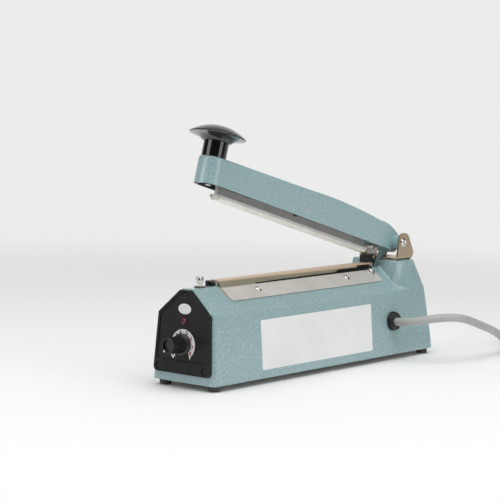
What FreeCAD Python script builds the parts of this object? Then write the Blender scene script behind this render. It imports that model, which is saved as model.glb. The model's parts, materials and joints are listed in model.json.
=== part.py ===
"""Table-top hand impulse sealer for 200 mm seals, open with its arm sprung up.

The sealer is drawn in its own frame: X runs from the control end (-X) to the hinge end (+X), -Y is the
side that the mains lead leaves by, +Z is up and the table is Z = 0.  All sizes are in millimetres.

Sub-parts are drawn in one of six frames, and each object's Placement puts its frame in the sealer's:
  case   origin on the table under the middle of the die-cast case
  face   origin at the foot of the case's front face, which leans back
  slope  origin on the edge of the deck, tilted with the shoulder of the case (near and far side)
  side   origin on the rim of the case's near side, tilted with the side's draft
  arm    origin on the hinge pin, X along the arm towards its tail, as it lies when the arm is closed
"""
import FreeCAD, Part
import math
import os
import re
import Sketcher
from FreeCAD import Placement, Rotation, Vector

doc = FreeCAD.newDocument("ImpulseSealer")

# Driving dimensions: name and size in millimetres or degrees
SIZES = {
    # Case
    "case_length": 320, "case_width": 67, "rim_height": 7, "foot_height": 5,
    "shoulder_drop": 20.5, "shoulder_width": 58, "deck_height": 82, "deck_width": 10,
    "front_lean": 2.6, "rear_lean": 9, "wall": 3, "front_corner": 4, "rear_corner": 5,
    "deck_round": 1.2, "block_round": 1.5, "end_wall": 3.6, "boss_radius": 5.5, "boss_height": 14,
    # Hinge block, cast in one with the case
    "block_rise": 6.5, "block_inset": 21.5, "block_length": 30.5, "block_top_width": 48,
    "block_fillet": 3, "tail_slot_ahead": 16.3, "tail_slot_behind": 6.7, "tail_slot_width": 9.4,
    # Bottom plate and feet
    "plate_thick": 1.2, "plate_gap": 0.4, "foot_radius": 5, "foot_inset": 8.5, "foot_y": 26,
    "foot_screw_radius": 1.5, "foot_screw_length": 12.5, "foot_screw_head": 2,
    "foot_recess_radius": 3.2, "foot_recess_depth": 3,
    # Front panel
    "panel_proud": 3.1, "panel_border": 2.4, "panel_recess": 0.8, "panel_foot": 7.2,
    "panel_shoulder_gap": 0.1, "panel_top_gap": 0.8, "panel_foot_width": 60.6,
    "panel_shoulder_width": 55, "panel_top_width": 11, "panel_corner": 4, "panel_strip": 10.5,
    "window_margin": 7, "panel_screw_radius": 1.6, "panel_head_radius": 2.7, "panel_screw_y": 24.6,
    "panel_screw_low": 12, "panel_screw_below": 4.6, "panel_screw_depth": 6.5,
    "panel_head_thick": 1.4, "panel_pocket": 1.6,
    # Lamp
    "lamp_height": 50.6, "lamp_radius": 2.7, "lamp_proud": 1.2, "lamp_depth": 9, "lamp_flange": 3.6,
    # Timer knob and its potentiometer
    "dial_height": 31.7, "knob_gap": 1, "knob_flange_radius": 9, "knob_flange_thick": 2.8,
    "knob_root_radius": 7.4, "knob_tip_radius": 6.5, "knob_reach": 18.3, "knob_hollow_radius": 5.5,
    "knob_hollow_depth": 2.2, "spindle_radius": 2.4, "spindle_length": 14, "bush_radius": 3.4,
    "pot_radius": 8.5, "pot_depth": 9, "nut_radius": 5.5, "nut_thick": 2.2, "pot_washer": 0.8,
    "knob_ribs": 24, "knob_rib_radius": 0.5,
    # Timer board
    "board_width": 42, "board_height": 34, "board_thick": 1.6, "board_gap": 12, "pillar_radius": 2.4,
    "pillar_y": 17.5, "pillar_low": 16, "pillar_high": 42,
    # Transformer
    "core_x": 10, "core_width": 54, "core_height": 45, "core_stack": 30, "core_window_width": 9,
    "core_window_height": 27, "coil_bulge": 7, "strap_thick": 1.2, "strap_width": 20, "strap_foot": 11,
    "strap_screw_radius": 1.8,
    # Micro switch and its push rod
    "rod_inset": 18.6, "rod_radius": 2, "rod_cap_radius": 3.1, "rod_cap_height": 5.2, "rod_rise": 9,
    "rod_travel": 2.2, "sleeve_radius": 3.6, "sleeve_flange": 4.4, "sleeve_top": 1.2, "sleeve_length": 6,
    "rod_length": 21, "switch_width": 20, "switch_lead": 5, "switch_depth": 6.4, "switch_height": 10,
    "switch_button_radius": 1.6, "switch_button_height": 1.2, "bracket_thick": 1,
    # Sealing bar, element and cloth
    "bar_inset_front": 36, "bar_inset_rear": 61, "bar_width": 8.4, "bar_height": 4.1,
    "tape_thick": 0.2, "element_width": 3, "element_thick": 0.2, "cloth_thick": 0.3,
    "cloth_inset_front": 0.8, "cloth_inset_rear": 3.5, "cloth_tuck": 12.5,
    # Cloth plates on the shoulders
    "strip_inset_front": 2, "strip_inset_rear": 4.5, "strip_start": 2.2, "strip_width": 15.6,
    "strip_thick": 1, "strip_corner": 4, "strip_notch_length": 9, "strip_notch_depth": 3.4,
    "strip_screw_down": 9.4, "strip_screw_front": 80, "strip_screw_rear": 46.6,
    "corner_screw_inset": 6, "corner_screw_down": 5.2, "dome_radius": 3, "dome_height": 1.5,
    "shank_radius": 1.5, "shank_length": 5, "washer_radius": 4.2, "washer_thick": 0.8,
    # End clamps of the element
    "clamp_length": 6.2, "clamp_width": 9, "front_clamp_rise": 0.8, "rear_clamp_rise": 7.3,
    "rear_clamp_inset": 8.6, "rear_clamp_length": 8.4,
    # Hinge bracket
    "hinge_inset": 38.2, "hinge_rise": 22.6, "open_angle": 15.26, "bracket_sheet": 2,
    "bracket_width": 43, "bracket_ahead": 8.2, "bracket_behind": 14.8, "ear_ahead": 4.2,
    "ear_height": 22.6, "ear_behind": 7.6, "ear_low_behind": 18, "ear_rear_low_height": 6.4,
    "ear_round_front": 6, "ear_round_rear": 8, "ear_round_low": 3, "bracket_bend": 2.5,
    "bracket_screw_behind": 10.7, "bracket_screw_y": 13, "bracket_screw_radius": 2,
    "bracket_head_radius": 3.4, "bracket_head_thick": 1.8,
    # Hinge pin
    "pin_radius": 2.5, "pin_head_radius": 4.2, "pin_head_thick": 2, "pin_nut_radius": 4.4,
    "pin_nut_thick": 3.2, "running_clearance": 0.05, "side_clearance": 0.3, "hinge_bush_radius": 4.6,
    "hinge_bush_length": 8,
    # Arm
    "arm_width": 24, "arm_low": 8, "reach_short": 0.7, "arm_front_top": 15.1, "arm_crest": 140,
    "arm_crest_top": 17.3, "arm_crest_bow": 2, "arm_rear": 26, "arm_rear_top": 14.6,
    "arm_rear_bow": 3, "arm_end_radius": 9.7, "arm_end_turn": 40,
    "arm_wall": 2.6, "arm_roof": 3, "arm_hollow_end": 13, "barrel_radius": 6.8, "arm_round": 1.6,
    "plunger_guide_radius": 5.4, "plunger_guide_low": 3.4,
    # Arm tail, which the return spring pulls
    "tail_thick": 5, "tail_width": 5.2, "tail_root": 1.5, "tail_bend": 26, "tail_bend_x": 3,
    "tail_end": 43, "tail_end_x": 8, "tail_tip_width": 5, "hook_hole_radius": 1.6, "hook_hole_up": 3.5,
    # Return spring
    "spring_radius": 4, "spring_wire": 0.9, "spring_turns": 9, "spring_tail": 7, "hook_radius": 3.6,
    "anchor_ahead": 71.8, "anchor_drop": 14.5, "anchor_radius": 1.8, "anchor_length": 16,
    "anchor_boss": 4,
    # Pressure bar and silicone strip
    "press_inset": 11.5, "press_rear": 33, "web_thick": 2.8, "web_top": 5.2, "strip_stand": 0.5,
    "channel_width": 11.6, "channel_wall": 0.9, "channel_height": 4.1, "lip_gap": 6.6,
    "press_hole_radius": 6, "press_hole_pitch": 67.5, "press_pin_drop": 0.7,
    "press_pin_radius": 2, "silicone_inset": 4, "silicone_slack": 0.1, "silicone_width": 6.2,
    "seal_gap": 0.3, "grommet_flange": 0.8,
    # Retaining clip behind the pressure bar
    "clip_x": 14.6, "clip_width": 10, "clip_thick": 1.2, "clip_overlap": 2.3, "clip_foot": 9,
    "clip_screw_radius": 1.6, "clip_head_radius": 2.8,
    # Mushroom knob on the arm
    "collar_radius": 10.4, "collar_top": 29.4, "collar_bore": 7.2, "collar_floor": 2.2,
    "cap_radius": 24, "cap_rim": 34.1, "cap_rim_thick": 1.6, "cap_top": 42.4, "cap_skirt_radius": 11.9,
    "cap_low": 28.4, "cap_flat": 3, "cap_bore_top": 37.4, "cap_clearance": 0.3, "plunger_radius": 2.6,
    "plunger_set": 39.6, "knob_travel": 7.5, "stop_ring_radius": 4.2, "stop_ring_thick": 1,
    "knob_spring_radius": 5.2, "knob_spring_wire": 1.1, "knob_spring_turns": 4,
    # Strain relief, mains lead and plug
    "relief_inset": 65.7, "relief_up": 23.5, "relief_head_radius": 8.8, "relief_head_thick": 4.4,
    "relief_flange": 1.8, "relief_facet_radius": 8.3, "relief_neck_radius": 6, "cord_radius": 3.75,
    "coil_along": 172.6, "coil_y": 105, "coil_mean_radius": 38.25, "coil_turns_wide": 3,
    "coil_layers": 2, "plug_along": 7, "plug_aside": 7, "plug_length": 50, "plug_width": 25,
    "plug_height": 25, "plug_grip": 20, "blade_length": 17, "blade_width": 6.3, "blade_thick": 1.5,
    "blade_pitch": 12.7, "ground_pin_radius": 2.4, "ground_offset": 11.9, "blade_rise": 3.5,
}

# Sizes that follow from the driving ones
DERIVED = {
    "case_x": "((panel_proud + knob_reach) * cos(front_lean) - (dial_height - knob_tip_radius)"
              " * sin(front_lean)) / 2",
    "case_end": "case_length / 2",
    "deck_edge": "deck_width / 2",
    "shoulder_height": "deck_height - shoulder_drop",
    "slope_angle": "atan(shoulder_drop / ((shoulder_width - deck_width) / 2))",
    "rim_top": "foot_height + rim_height",
    "ceiling": "deck_height - wall",
    "block_height": "deck_height + block_rise",
    "block_rear": "case_end - block_inset",
    "block_front": "block_rear - block_length",
    "foot_x": "case_end - foot_inset",
    "panel_shoulder": "shoulder_height - foot_height - panel_shoulder_gap",
    "panel_top": "deck_height - foot_height - panel_top_gap",
    "panel_screw_high": "panel_top - panel_screw_below",
    "rod_x": "case_end - rod_inset",
    "rod_top": "deck_height + rod_rise",
    "rod_low": "rod_top - rod_length",
    "bar_front": "case_end - bar_inset_front",
    "bar_rear": "case_end - bar_inset_rear",
    "bar_top": "deck_height + bar_height",
    "element_under": "bar_top + tape_thick",
    "cloth_under": "element_under + element_thick",
    "cloth_top": "cloth_under + cloth_thick",
    "cloth_front": "bar_front - cloth_inset_front",
    "cloth_rear": "bar_rear - cloth_inset_rear",
    "strip_front": "bar_front - strip_inset_front",
    "strip_rear": "bar_rear - strip_inset_rear",
    "corner_screw_x": "strip_rear - corner_screw_inset",
    "front_clamp_top": "bar_top + front_clamp_rise",
    "rear_clamp_top": "bar_top + rear_clamp_rise",
    "rear_clamp_front": "bar_rear - rear_clamp_inset",
    "hinge_x": "case_end - hinge_inset",
    "hinge_height": "deck_height + hinge_rise",
    "bracket_front": "hinge_x - bracket_ahead",
    "bracket_rear": "hinge_x + bracket_behind",
    "bracket_top": "block_height + bracket_sheet",
    "bracket_screw_x": "hinge_x + bracket_screw_behind",
    "ear_front_top": "hinge_x - ear_ahead",
    "ear_rear_top": "hinge_x + ear_behind",
    "ear_rear_low": "hinge_x + ear_low_behind",
    "ear_inner": "bracket_width / 2 - bracket_sheet",
    "tail_slot_front": "hinge_x - tail_slot_ahead",
    "tail_slot_rear": "hinge_x + tail_slot_behind",
    "anchor_x": "hinge_x - anchor_ahead",
    "anchor_height": "deck_height - anchor_drop",
    "arm_reach": "hinge_x + rod_x - reach_short",
    "press_front": "arm_reach - press_inset",
    "press_pin_x": "(press_front + press_rear) / 2",
    "strip_low": "hinge_height - cloth_top - seal_gap",
    "channel_low": "strip_low - strip_stand",
    "channel_top": "channel_low - channel_height",
    "channel_roof": "channel_top + channel_wall",
    "clip_drop": "channel_top + clip_overlap",
    "plunger_low": "hinge_height - rod_top + rod_travel - seal_gap - knob_travel",
    "side_draft": "atan((case_width - shoulder_width) / 2 / (shoulder_height - rim_top))",
    "relief_x": "case_end - relief_inset",
    "cord_thick": "2 * cord_radius",
    "coil_x": "relief_x + coil_along",
    "coil_outer": "coil_mean_radius + coil_turns_wide * cord_radius",
    "coil_inner": "coil_mean_radius - coil_turns_wide * cord_radius",
}

sheet = doc.addObject("Spreadsheet::Sheet", "Sizes")
for row, (alias, value) in enumerate(SIZES.items(), start=1):
    sheet.set("A%d" % row, alias)
    sheet.set("B%d" % row, str(value))
    sheet.setAlias("B%d" % row, alias)
doc.recompute()


def ex(text):
    """Spell out an expression: derived names become their formulas, sizes their spreadsheet cells."""
    def spell(match):
        word = match.group(0)
        if word in DERIVED:
            return "(" + ex(DERIVED[word]) + ")"
        return "Sizes." + word if word in SIZES else word
    return re.sub(r"[a-z][a-z_]*[a-z]", spell, str(text))


def size(text):
    """The present value of an expression."""
    return float(sheet.evalExpression(ex(text)))


def bind(thing, **expressions):
    """Tie properties of an object to expressions."""
    for name, text in expressions.items():
        thing.setExpression(name, ex(text))


# Where each frame has its origin, the axis it is tilted about, and by how much
FRAMES = {
    "case": (("case_x", "0", "0"), "Y", "0"),
    "face": (("case_x - case_length / 2", "0", "foot_height"), "Y", "front_lean"),
    "arm": (("case_x + hinge_x", "0", "hinge_height"), "Y", "open_angle"),
    "slope_near": (("case_x", "-deck_edge", "deck_height"), "X", "slope_angle"),
    "slope_far": (("case_x", "deck_edge", "deck_height"), "X", "-slope_angle"),
    "side_near": (("case_x", "-case_width / 2", "rim_top"), "X", "-side_draft"),
}


def place(thing, frame, dx="0", dy="0", dz="0"):
    """Put an object drawn in one of the frames, moved by dx, dy, dz in it, into the sealer's frame."""
    (x, y, z), axis, tilt = FRAMES[frame]
    if axis == "Y":
        thing.Placement = Placement(Vector(), Rotation(Vector(0, 1, 0), 10))
        base = ("%s + (%s) * cos(%s) + (%s) * sin(%s)" % (x, dx, tilt, dz, tilt),
                "%s + (%s)" % (y, dy),
                "%s - (%s) * sin(%s) + (%s) * cos(%s)" % (z, dx, tilt, dz, tilt))
    else:
        thing.Placement = Placement(Vector(), Rotation(Vector(1, 0, 0), 10))
        base = ("%s + (%s)" % (x, dx),
                "%s + (%s) * cos(%s) - (%s) * sin(%s)" % (y, dy, tilt, dz, tilt),
                "%s + (%s) * sin(%s) + (%s) * cos(%s)" % (z, dy, tilt, dz, tilt))
    for letter, text in zip("xyz", base):
        thing.setExpression(".Placement.Base." + letter, ex(text))
    thing.setExpression(".Placement.Rotation.Angle", ex(tilt))
    return thing


nodes = {}


def node(thing, name):
    """Name an object as one of the sealer's sub-parts."""
    thing.Label = name
    nodes[name] = thing
    return thing


def new_body(name):
    return doc.addObject("PartDesign::Body", name + "_body")


def new_sketch(body, plane, away="0"):
    """An empty sketch on one of the body's own planes, moved along the plane's normal."""
    sketch = body.newObject("Sketcher::SketchObject", "outline")
    base_plane = next(item for item in body.Origin.OriginFeatures if item.Role == plane + "_Plane")
    sketch.AttachmentSupport = [(base_plane, "")]
    sketch.MapMode = "FlatFace"
    sketch.setExpression(".AttachmentOffset.Base.z", ex(away))
    return sketch


def tie_point(sketch, edge, end, point):
    """Tie one point of a sketch to two expressions."""
    for kind, text in zip(("DistanceX", "DistanceY"), point):
        number = sketch.addConstraint(Sketcher.Constraint(kind, -1, 1, edge, end, size(text)))
        sketch.setExpression("Constraints[%d]" % number, ex(text))


def tie_radius(sketch, edge, text):
    number = sketch.addConstraint(Sketcher.Constraint("Radius", edge, size(text)))
    sketch.setExpression("Constraints[%d]" % number, ex(text))


def bow(start, end, rise):
    """The middle point and the radius of an arc that bulges to the right of the way from start to end."""
    a, b = (Vector(size(x), size(y), 0) for x, y in (start, end))
    across = (b - a).cross(Vector(0, 0, 1))
    across.normalize()
    spread = "((%s) - (%s)) ^ 2 + ((%s) - (%s)) ^ 2" % (end[0], start[0], end[1], start[1])
    return (a + b) / 2 + across * size(rise), "(%s) / (8 * (%s)) + (%s) / 2" % (spread, rise, rise)


def near(sketch, edge, end, spot):
    """True where that end of a sketch edge is at the spot; an arc's ends run anticlockwise."""
    return (sketch.getPoint(edge, end) - spot).Length < 1e-4


def polygon(sketch, points, bows=()):
    """Add a closed outline through points given as pairs of expressions; bows gives the rise of the
    edges that are arcs, by their number."""
    bows = dict(bows)
    first = sketch.GeometryCount
    count = len(points)
    corners = [Vector(size(a), size(b), 0) for a, b in points]
    for index in range(count):
        start, end = corners[index], corners[(index + 1) % count]
        if index in bows:
            top = bow(points[index], points[(index + 1) % count], bows[index])[0]
            sketch.addGeometry(Part.Arc(start, top, end), False)
        else:
            sketch.addGeometry(Part.LineSegment(start, end), False)
    for index in range(count):
        here, there = first + index, first + (index + 1) % count
        ends = [2 if near(sketch, here, 2, corners[(index + 1) % count]) else 1,
                1 if near(sketch, there, 1, corners[(index + 1) % count]) else 2]
        sketch.addConstraint(Sketcher.Constraint("Coincident", here, ends[0], there, ends[1]))
    for index, point in enumerate(points):
        tie_point(sketch, first + index, 1 if near(sketch, first + index, 1, corners[index]) else 2, point)
    for index, rise in bows.items():
        tie_radius(sketch, first + index, bow(points[index], points[(index + 1) % count], rise)[1])
    return sketch


def circle(sketch, centre, radius):
    """Add a circle whose centre and radius are expressions."""
    middle = Vector(size(centre[0]), size(centre[1]), 0)
    edge = sketch.addGeometry(Part.Circle(middle, Vector(0, 0, 1), size(radius)), False)
    tie_point(sketch, edge, 3, centre)
    tie_radius(sketch, edge, radius)
    return sketch


def mirrored_points(points):
    """An outline that is the same on both sides of the vertical axis, from its right half."""
    return list(points) + [("-(%s)" % a, b) for a, b in reversed(points)]


def add(body, kind, sketch, length, both_sides=False, backwards=False):
    """Pad or pocket a sketch; both_sides spreads the length evenly over the sketch plane."""
    feature = body.newObject("PartDesign::" + kind, kind.lower())
    feature.Profile = sketch
    feature.SideType = "Symmetric" if both_sides else "One side"
    feature.Reversed = backwards
    bind(feature, Length=length)
    return feature


def round_edges(body, radius, chosen):
    """Fillet the edges of the body's present shape that the test picks."""
    doc.recompute()
    base = body.Tip
    names = ["Edge%d" % (number + 1) for number, edge in enumerate(base.Shape.Edges) if chosen(edge)]
    fillet = body.newObject("PartDesign::Fillet", "round")
    fillet.Base = (base, names)
    bind(fillet, Radius=radius)
    doc.recompute()
    return fillet


def middle(edge):
    return edge.valueAt((edge.FirstParameter + edge.LastParameter) / 2)


def runs_along(edge, axis):
    """True for a straight edge parallel to the axis."""
    if edge.Degenerated or not isinstance(edge.Curve, Part.Line):
        return False
    return abs(abs(edge.Curve.Direction.dot(axis)) - 1) < 1e-6


AXIS_X, AXIS_Y, AXIS_Z = Vector(1, 0, 0), Vector(0, 1, 0), Vector(0, 0, 1)


def turned(name, axis, profile):
    """A turned body: its profile is pairs of radius and place along the axis."""
    body = new_body(name)
    if axis == "X":
        sketch = polygon(new_sketch(body, "XZ"), [(along, radius) for radius, along in profile])
    else:
        sketch = polygon(new_sketch(body, "XZ" if axis == "Z" else "XY"), profile)
    feature = body.newObject("PartDesign::Revolution", "revolve")
    feature.Profile = sketch
    feature.ReferenceAxis = (sketch, ["H_Axis" if axis == "X" else "V_Axis"])
    feature.Angle = 360
    return body


def rod_profile(radius, low, high):
    return [("0", low), (radius, low), (radius, high), ("0", high)]


def tube_profile(inner, outer, low, high):
    return [(inner, low), (outer, low), (outer, high), (inner, high)]


def box(name, frame, x_span, y_span, z_span):
    """A Part box between pairs of expressions in a frame."""
    thing = doc.addObject("Part::Box", name + "_box")
    (x0, x1), (y0, y1), (z0, z1) = x_span, y_span, z_span
    bind(thing, Length="(%s) - (%s)" % (x1, x0), Width="(%s) - (%s)" % (y1, y0),
         Height="(%s) - (%s)" % (z1, z0))
    return place(thing, frame, x0, y0, z0)


def half_span(width):
    return ("-(%s) / 2" % width, "(%s) / 2" % width)


def combine(kind, name, *things):
    """A Part boolean or compound of several objects."""
    result = doc.addObject("Part::" + kind, name)
    if kind == "Cut":
        result.Base, result.Tool = things
    elif kind == "Compound":
        result.Links = list(things)
    else:
        result.Shapes = list(things)
    return result


# Case: die-cast shell of pentagonal section with a hinge block raised at its rear end

def case_section(inset):
    """Right half of the case's section in the YZ plane, drawn in from its skin by a wall."""
    slope_in = "(%s) * tan(slope_angle / 2)" % inset
    foot = "foot_height" if inset == "0" else "foot_height - wall"
    return [("case_width / 2 - (%s)" % inset, foot), ("case_width / 2 - (%s)" % inset, "rim_top"),
            ("shoulder_width / 2 - (%s)" % inset, "shoulder_height - (%s)" % slope_in),
            ("deck_edge - (%s)" % slope_in, "deck_height - (%s)" % inset)]


def block_section(inset):
    return [("shoulder_width / 2 - (%s)" % inset, "shoulder_height - wall"),
            ("shoulder_width / 2 - (%s)" % inset, "shoulder_height"),
            ("block_top_width / 2 - (%s)" % inset, "block_height - (%s)" % inset)]


def end_cuts(body, front_inset, rear_inset):
    """Trim a body that runs past both ends of the case to the leaning end faces, in the XZ plane."""
    over, past = "block_height + 20", "case_length / 2 + 20"
    low = "foot_height - 5"
    front = "-case_length / 2 + (%s)" % front_inset
    rear = "case_length / 2 - (%s)" % rear_inset
    shoulder_rear = "%s - (shoulder_height - foot_height) * tan(rear_lean)" % rear
    block_rear = "block_rear - (%s)" % ("0" if rear_inset == "0" else "wall")
    outlines = [
        [(front + " - (foot_height - (%s)) * tan(front_lean)" % low, low),
         (front + " + (%s - foot_height) * tan(front_lean)" % over, over),
         ("-(%s)" % past, over), ("-(%s)" % past, low)],
        [(rear + " + (foot_height - (%s)) * tan(rear_lean)" % low, low),
         (shoulder_rear, "shoulder_height"), (block_rear, "block_height"), (block_rear, over),
         (past, over), (past, low)],
    ]
    for outline in outlines:
        add(body, "Pocket", polygon(new_sketch(body, "XZ"), outline), "2 * case_width", both_sides=True)


def case_form(name, inset, front_inset, rear_inset, block_front):
    """The case's outer skin, or the hollow inside it."""
    body = new_body(name)
    section = polygon(new_sketch(body, "YZ"), mirrored_points(case_section(inset)))
    add(body, "Pad", section, "case_length + 20", both_sides=True)
    block = polygon(new_sketch(body, "YZ", block_front), mirrored_points(block_section(inset)))
    add(body, "Pad", block, "case_length / 2 + 10 - (%s)" % block_front)
    end_cuts(body, front_inset, rear_inset)
    return body


case_skin = case_form("case_skin", "0", "0", "0", "block_front")
doc.recompute()


def at_case_end(edge, front):
    """True for the upright corner edges at one end of the case, with the hinge block's at the rear."""
    if runs_along(edge, AXIS_X) or runs_along(edge, AXIS_Y):
        return False
    point = middle(edge)
    reach = size("case_length / 2") - 20
    if front:
        return point.x < -reach and point.z < size("shoulder_height") - 1 and \
            abs(point.y) > size("shoulder_width / 2") - 2
    return point.x > size("block_rear") - 5 and abs(point.y) > size("block_top_width / 2") - 1


round_edges(case_skin, "front_corner", lambda edge: at_case_end(edge, True))
round_edges(case_skin, "rear_corner", lambda edge: at_case_end(edge, False))


def under_block(edge):
    """True for the hollow corner where the block's front face meets the deck and the slopes."""
    point = middle(edge)
    return abs(point.x - size("block_front")) < 0.01 and point.z < size("block_height") - 1 and \
        abs(point.y) < size("block_top_width / 2") and not runs_along(edge, AXIS_X)


round_edges(case_skin, "block_fillet", under_block)
round_edges(case_skin, "deck_round", lambda edge: runs_along(edge, AXIS_X) and edge.Length > size("case_length") / 4
            and middle(edge).z > size("deck_height") - 1)
round_edges(case_skin, "block_round", lambda edge: abs(middle(edge).z - size("block_height")) < 0.01)

case_hollow = case_form("case_hollow", "wall", "end_wall", "end_wall", "block_front + wall")
doc.recompute()
case_shell = combine("Cut", "case_shell", case_skin, case_hollow)

# Posts for the feet, the boss for the spring anchor, and the holes that go through the shell
case_adds = [case_shell]
for end in (-1, 1):
    for side in (-1, 1):
        post = doc.addObject("Part::Cylinder", "foot_post")
        bind(post, Radius="boss_radius", Height="boss_height")
        for axis, text in zip("xyz", ("%d * foot_x" % end, "%d * foot_y" % side,
                                      "foot_height + plate_thick")):
            post.setExpression(".Placement.Base." + axis, ex(text))
        case_adds.append(post)
anchor_boss = doc.addObject("Part::Cylinder", "anchor_boss")
bind(anchor_boss, Radius="anchor_boss", Height="ceiling - anchor_height - spring_radius - spring_wire + 1")
for axis, text in (("x", "anchor_x"), ("z", "anchor_height + spring_radius + spring_wire")):
    anchor_boss.setExpression(".Placement.Base." + axis, ex(text))
case_adds.append(anchor_boss)
case_solid = combine("MultiFuse", "case_solid", *case_adds)


def panel_points(inset):
    """Right half of the panel's house shape in the face's YZ plane, drawn in by a border."""
    slope_in = "(%s) * 0.5" % inset
    return [("panel_foot_width / 2 - (%s)" % inset, "panel_foot + (%s)" % inset),
            ("panel_shoulder_width / 2 - (%s)" % inset, "panel_shoulder - (%s)" % slope_in),
            ("panel_top_width / 2 - (%s)" % slope_in, "panel_top - (%s)" % inset)]


window = new_body("window")
add(window, "Pad", polygon(new_sketch(window, "YZ"), mirrored_points(panel_points("window_margin"))),
    "4 * end_wall", both_sides=True)
place(window, "face")

case_cuts = [window]
for side_y, height in (("-panel_screw_y", "panel_screw_low"), ("panel_screw_y", "panel_screw_low"),
                       ("0", "panel_screw_high")):
    hole = turned("panel_hole", "X", rod_profile("panel_screw_radius + running_clearance", "-1",
                                                 "panel_screw_depth + 1"))
    case_cuts.append(place(hole, "face", "0", side_y, height))
for end in (-1, 1):
    for side in (-1, 1):
        hole = turned("foot_hole", "Z", rod_profile("foot_screw_radius + running_clearance", "0",
                                                    "foot_height + foot_screw_length"))
        case_cuts.append(place(hole, "case", "%d * foot_x" % end, "%d * foot_y" % side, "0"))
case_cuts.append(box("tail_slot", "case", ("tail_slot_front", "tail_slot_rear"),
                     half_span("tail_slot_width"), ("ceiling - 12", "block_height + 5")))
case_cuts.append(place(turned("rod_hole", "Z", rod_profile("sleeve_radius + running_clearance",
                                                           "-2 * wall", "wall")),
                       "case", "-rod_x", "0", "deck_height"))
case_cuts.append(place(turned("anchor_hole", "Z", rod_profile("anchor_radius + running_clearance", "0",
                                                              "anchor_length - 5")),
                       "case", "anchor_x", "0", "anchor_height"))
case_cuts.append(place(turned("relief_hole", "Y", rod_profile("relief_neck_radius", "-2 * wall",
                                                              "3 * wall")),
                       "side_near", "relief_x", "0", "relief_up"))
for side, frame in ((-1, "slope_near"), (1, "slope_far")):
    for at_x, down in (("-strip_screw_front", "strip_screw_down"), ("strip_screw_rear", "strip_screw_down"),
                       ("corner_screw_x", "corner_screw_down")):
        hole = turned("strip_hole", "Z", rod_profile("shank_radius + running_clearance",
                                                     "-shank_length", "1"))
        case_cuts.append(place(hole, frame, at_x, "%d * (%s)" % (side, down)))
for side in (-1, 1):
    hole = turned("bracket_hole", "Z", rod_profile("bracket_screw_radius + running_clearance", "-9", "1"))
    case_cuts.append(place(hole, "case", "bracket_screw_x", "%d * bracket_screw_y" % side, "block_height"))
for at_x in ("-bar_front + 12", "bar_rear - 16"):
    hole = turned("bar_hole", "Z", rod_profile("shank_radius + running_clearance", "-2 * wall", "1"))
    case_cuts.append(place(hole, "case", at_x, "0", "deck_height"))


def shift_to_case(thing):
    thing.setExpression(".Placement.Base.x", ex("case_x"))
    return thing


shift_to_case(case_solid)
node(combine("Cut", "case_casting", case_solid, combine("MultiFuse", "case_holes", *case_cuts)), "housing")

# Bottom plate, rubber feet and their screws

bottom = new_body("bottom_plate")
add(bottom, "Pad", polygon(new_sketch(bottom, "XY", "foot_height"), mirrored_points([
    ("case_length / 2 - end_wall - plate_gap", "-case_width / 2 + wall + plate_gap"),
    ("case_length / 2 - end_wall - plate_gap", "case_width / 2 - wall - plate_gap")])), "plate_thick")
foot_holes = new_sketch(bottom, "XY", "foot_height - 1")
for end in (-1, 1):
    for side in (-1, 1):
        circle(foot_holes, ("%d * foot_x" % end, "%d * foot_y" % side),
               "foot_screw_radius + running_clearance")
add(bottom, "Pocket", foot_holes, "plate_thick + 2", backwards=True)
node(place(bottom, "case"), "bottom_plate")

feet = []
foot_screws = []
for end in (-1, 1):
    for side in (-1, 1):
        spot = ("%d * foot_x" % end, "%d * foot_y" % side)
        foot = turned("foot", "Z", [
            ("foot_screw_radius + running_clearance", "foot_recess_depth"),
            ("foot_recess_radius + running_clearance", "foot_recess_depth"),
            ("foot_recess_radius + running_clearance", "0"),
            ("foot_radius - 0.4", "0"), ("foot_radius", "1"), ("foot_radius", "foot_height"),
            ("foot_screw_radius + running_clearance", "foot_height")])
        feet.append(place(foot, "case", *spot))
        screw = turned("foot_screw", "Z", [
            ("0", "foot_recess_depth - foot_screw_head"),
            ("foot_recess_radius", "foot_recess_depth - foot_screw_head"),
            ("foot_recess_radius", "foot_recess_depth"), ("foot_screw_radius", "foot_recess_depth"),
            ("foot_screw_radius", "foot_recess_depth + foot_screw_length"),
            ("0", "foot_recess_depth + foot_screw_length")])
        foot_screws.append(place(screw, "case", *spot))
node(combine("Compound", "feet", *feet), "rubber_feet")
node(combine("Compound", "foot_screws", *foot_screws), "foot_screws")

# Front panel: black moulding with a raised border, a recessed field and a plain strip along its foot

panel = new_body("front_panel")
add(panel, "Pad", polygon(new_sketch(panel, "YZ"), mirrored_points(panel_points("0"))), "panel_proud",
    backwards=True)
round_edges(panel, "panel_corner", lambda edge: runs_along(edge, AXIS_X)
            and middle(edge).z < size("panel_shoulder") - 10)
round_edges(panel, "panel_corner / 2", lambda edge: runs_along(edge, AXIS_X)
            and middle(edge).z > size("panel_shoulder") - 10)
field = [("panel_foot_width / 2 - panel_border - 0.3", "panel_foot + panel_strip")] + \
    panel_points("panel_border")[1:]
field_sketch = polygon(new_sketch(panel, "YZ", "-panel_proud"), mirrored_points(field))
add(panel, "Pocket", field_sketch, "panel_recess", backwards=True)
round_edges(panel, "panel_corner - 1", lambda edge: runs_along(edge, AXIS_X)
            and edge.Length < size("panel_recess") + 0.1
            and middle(edge).z < size("panel_foot + panel_strip + 4"))
heads = new_sketch(panel, "YZ", "-panel_proud - 1")
shanks = new_sketch(panel, "YZ", "-panel_proud - 1")
for spot in (("-panel_screw_y", "panel_screw_low"), ("panel_screw_y", "panel_screw_low"),
             ("0", "panel_screw_high")):
    circle(heads, spot, "panel_head_radius + 0.3")
    circle(shanks, spot, "panel_screw_radius + running_clearance")
circle(shanks, ("0", "lamp_height"), "lamp_radius + running_clearance")
circle(shanks, ("0", "dial_height"), "bush_radius + running_clearance")
add(panel, "Pocket", heads, "panel_pocket + 1", backwards=True)
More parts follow.
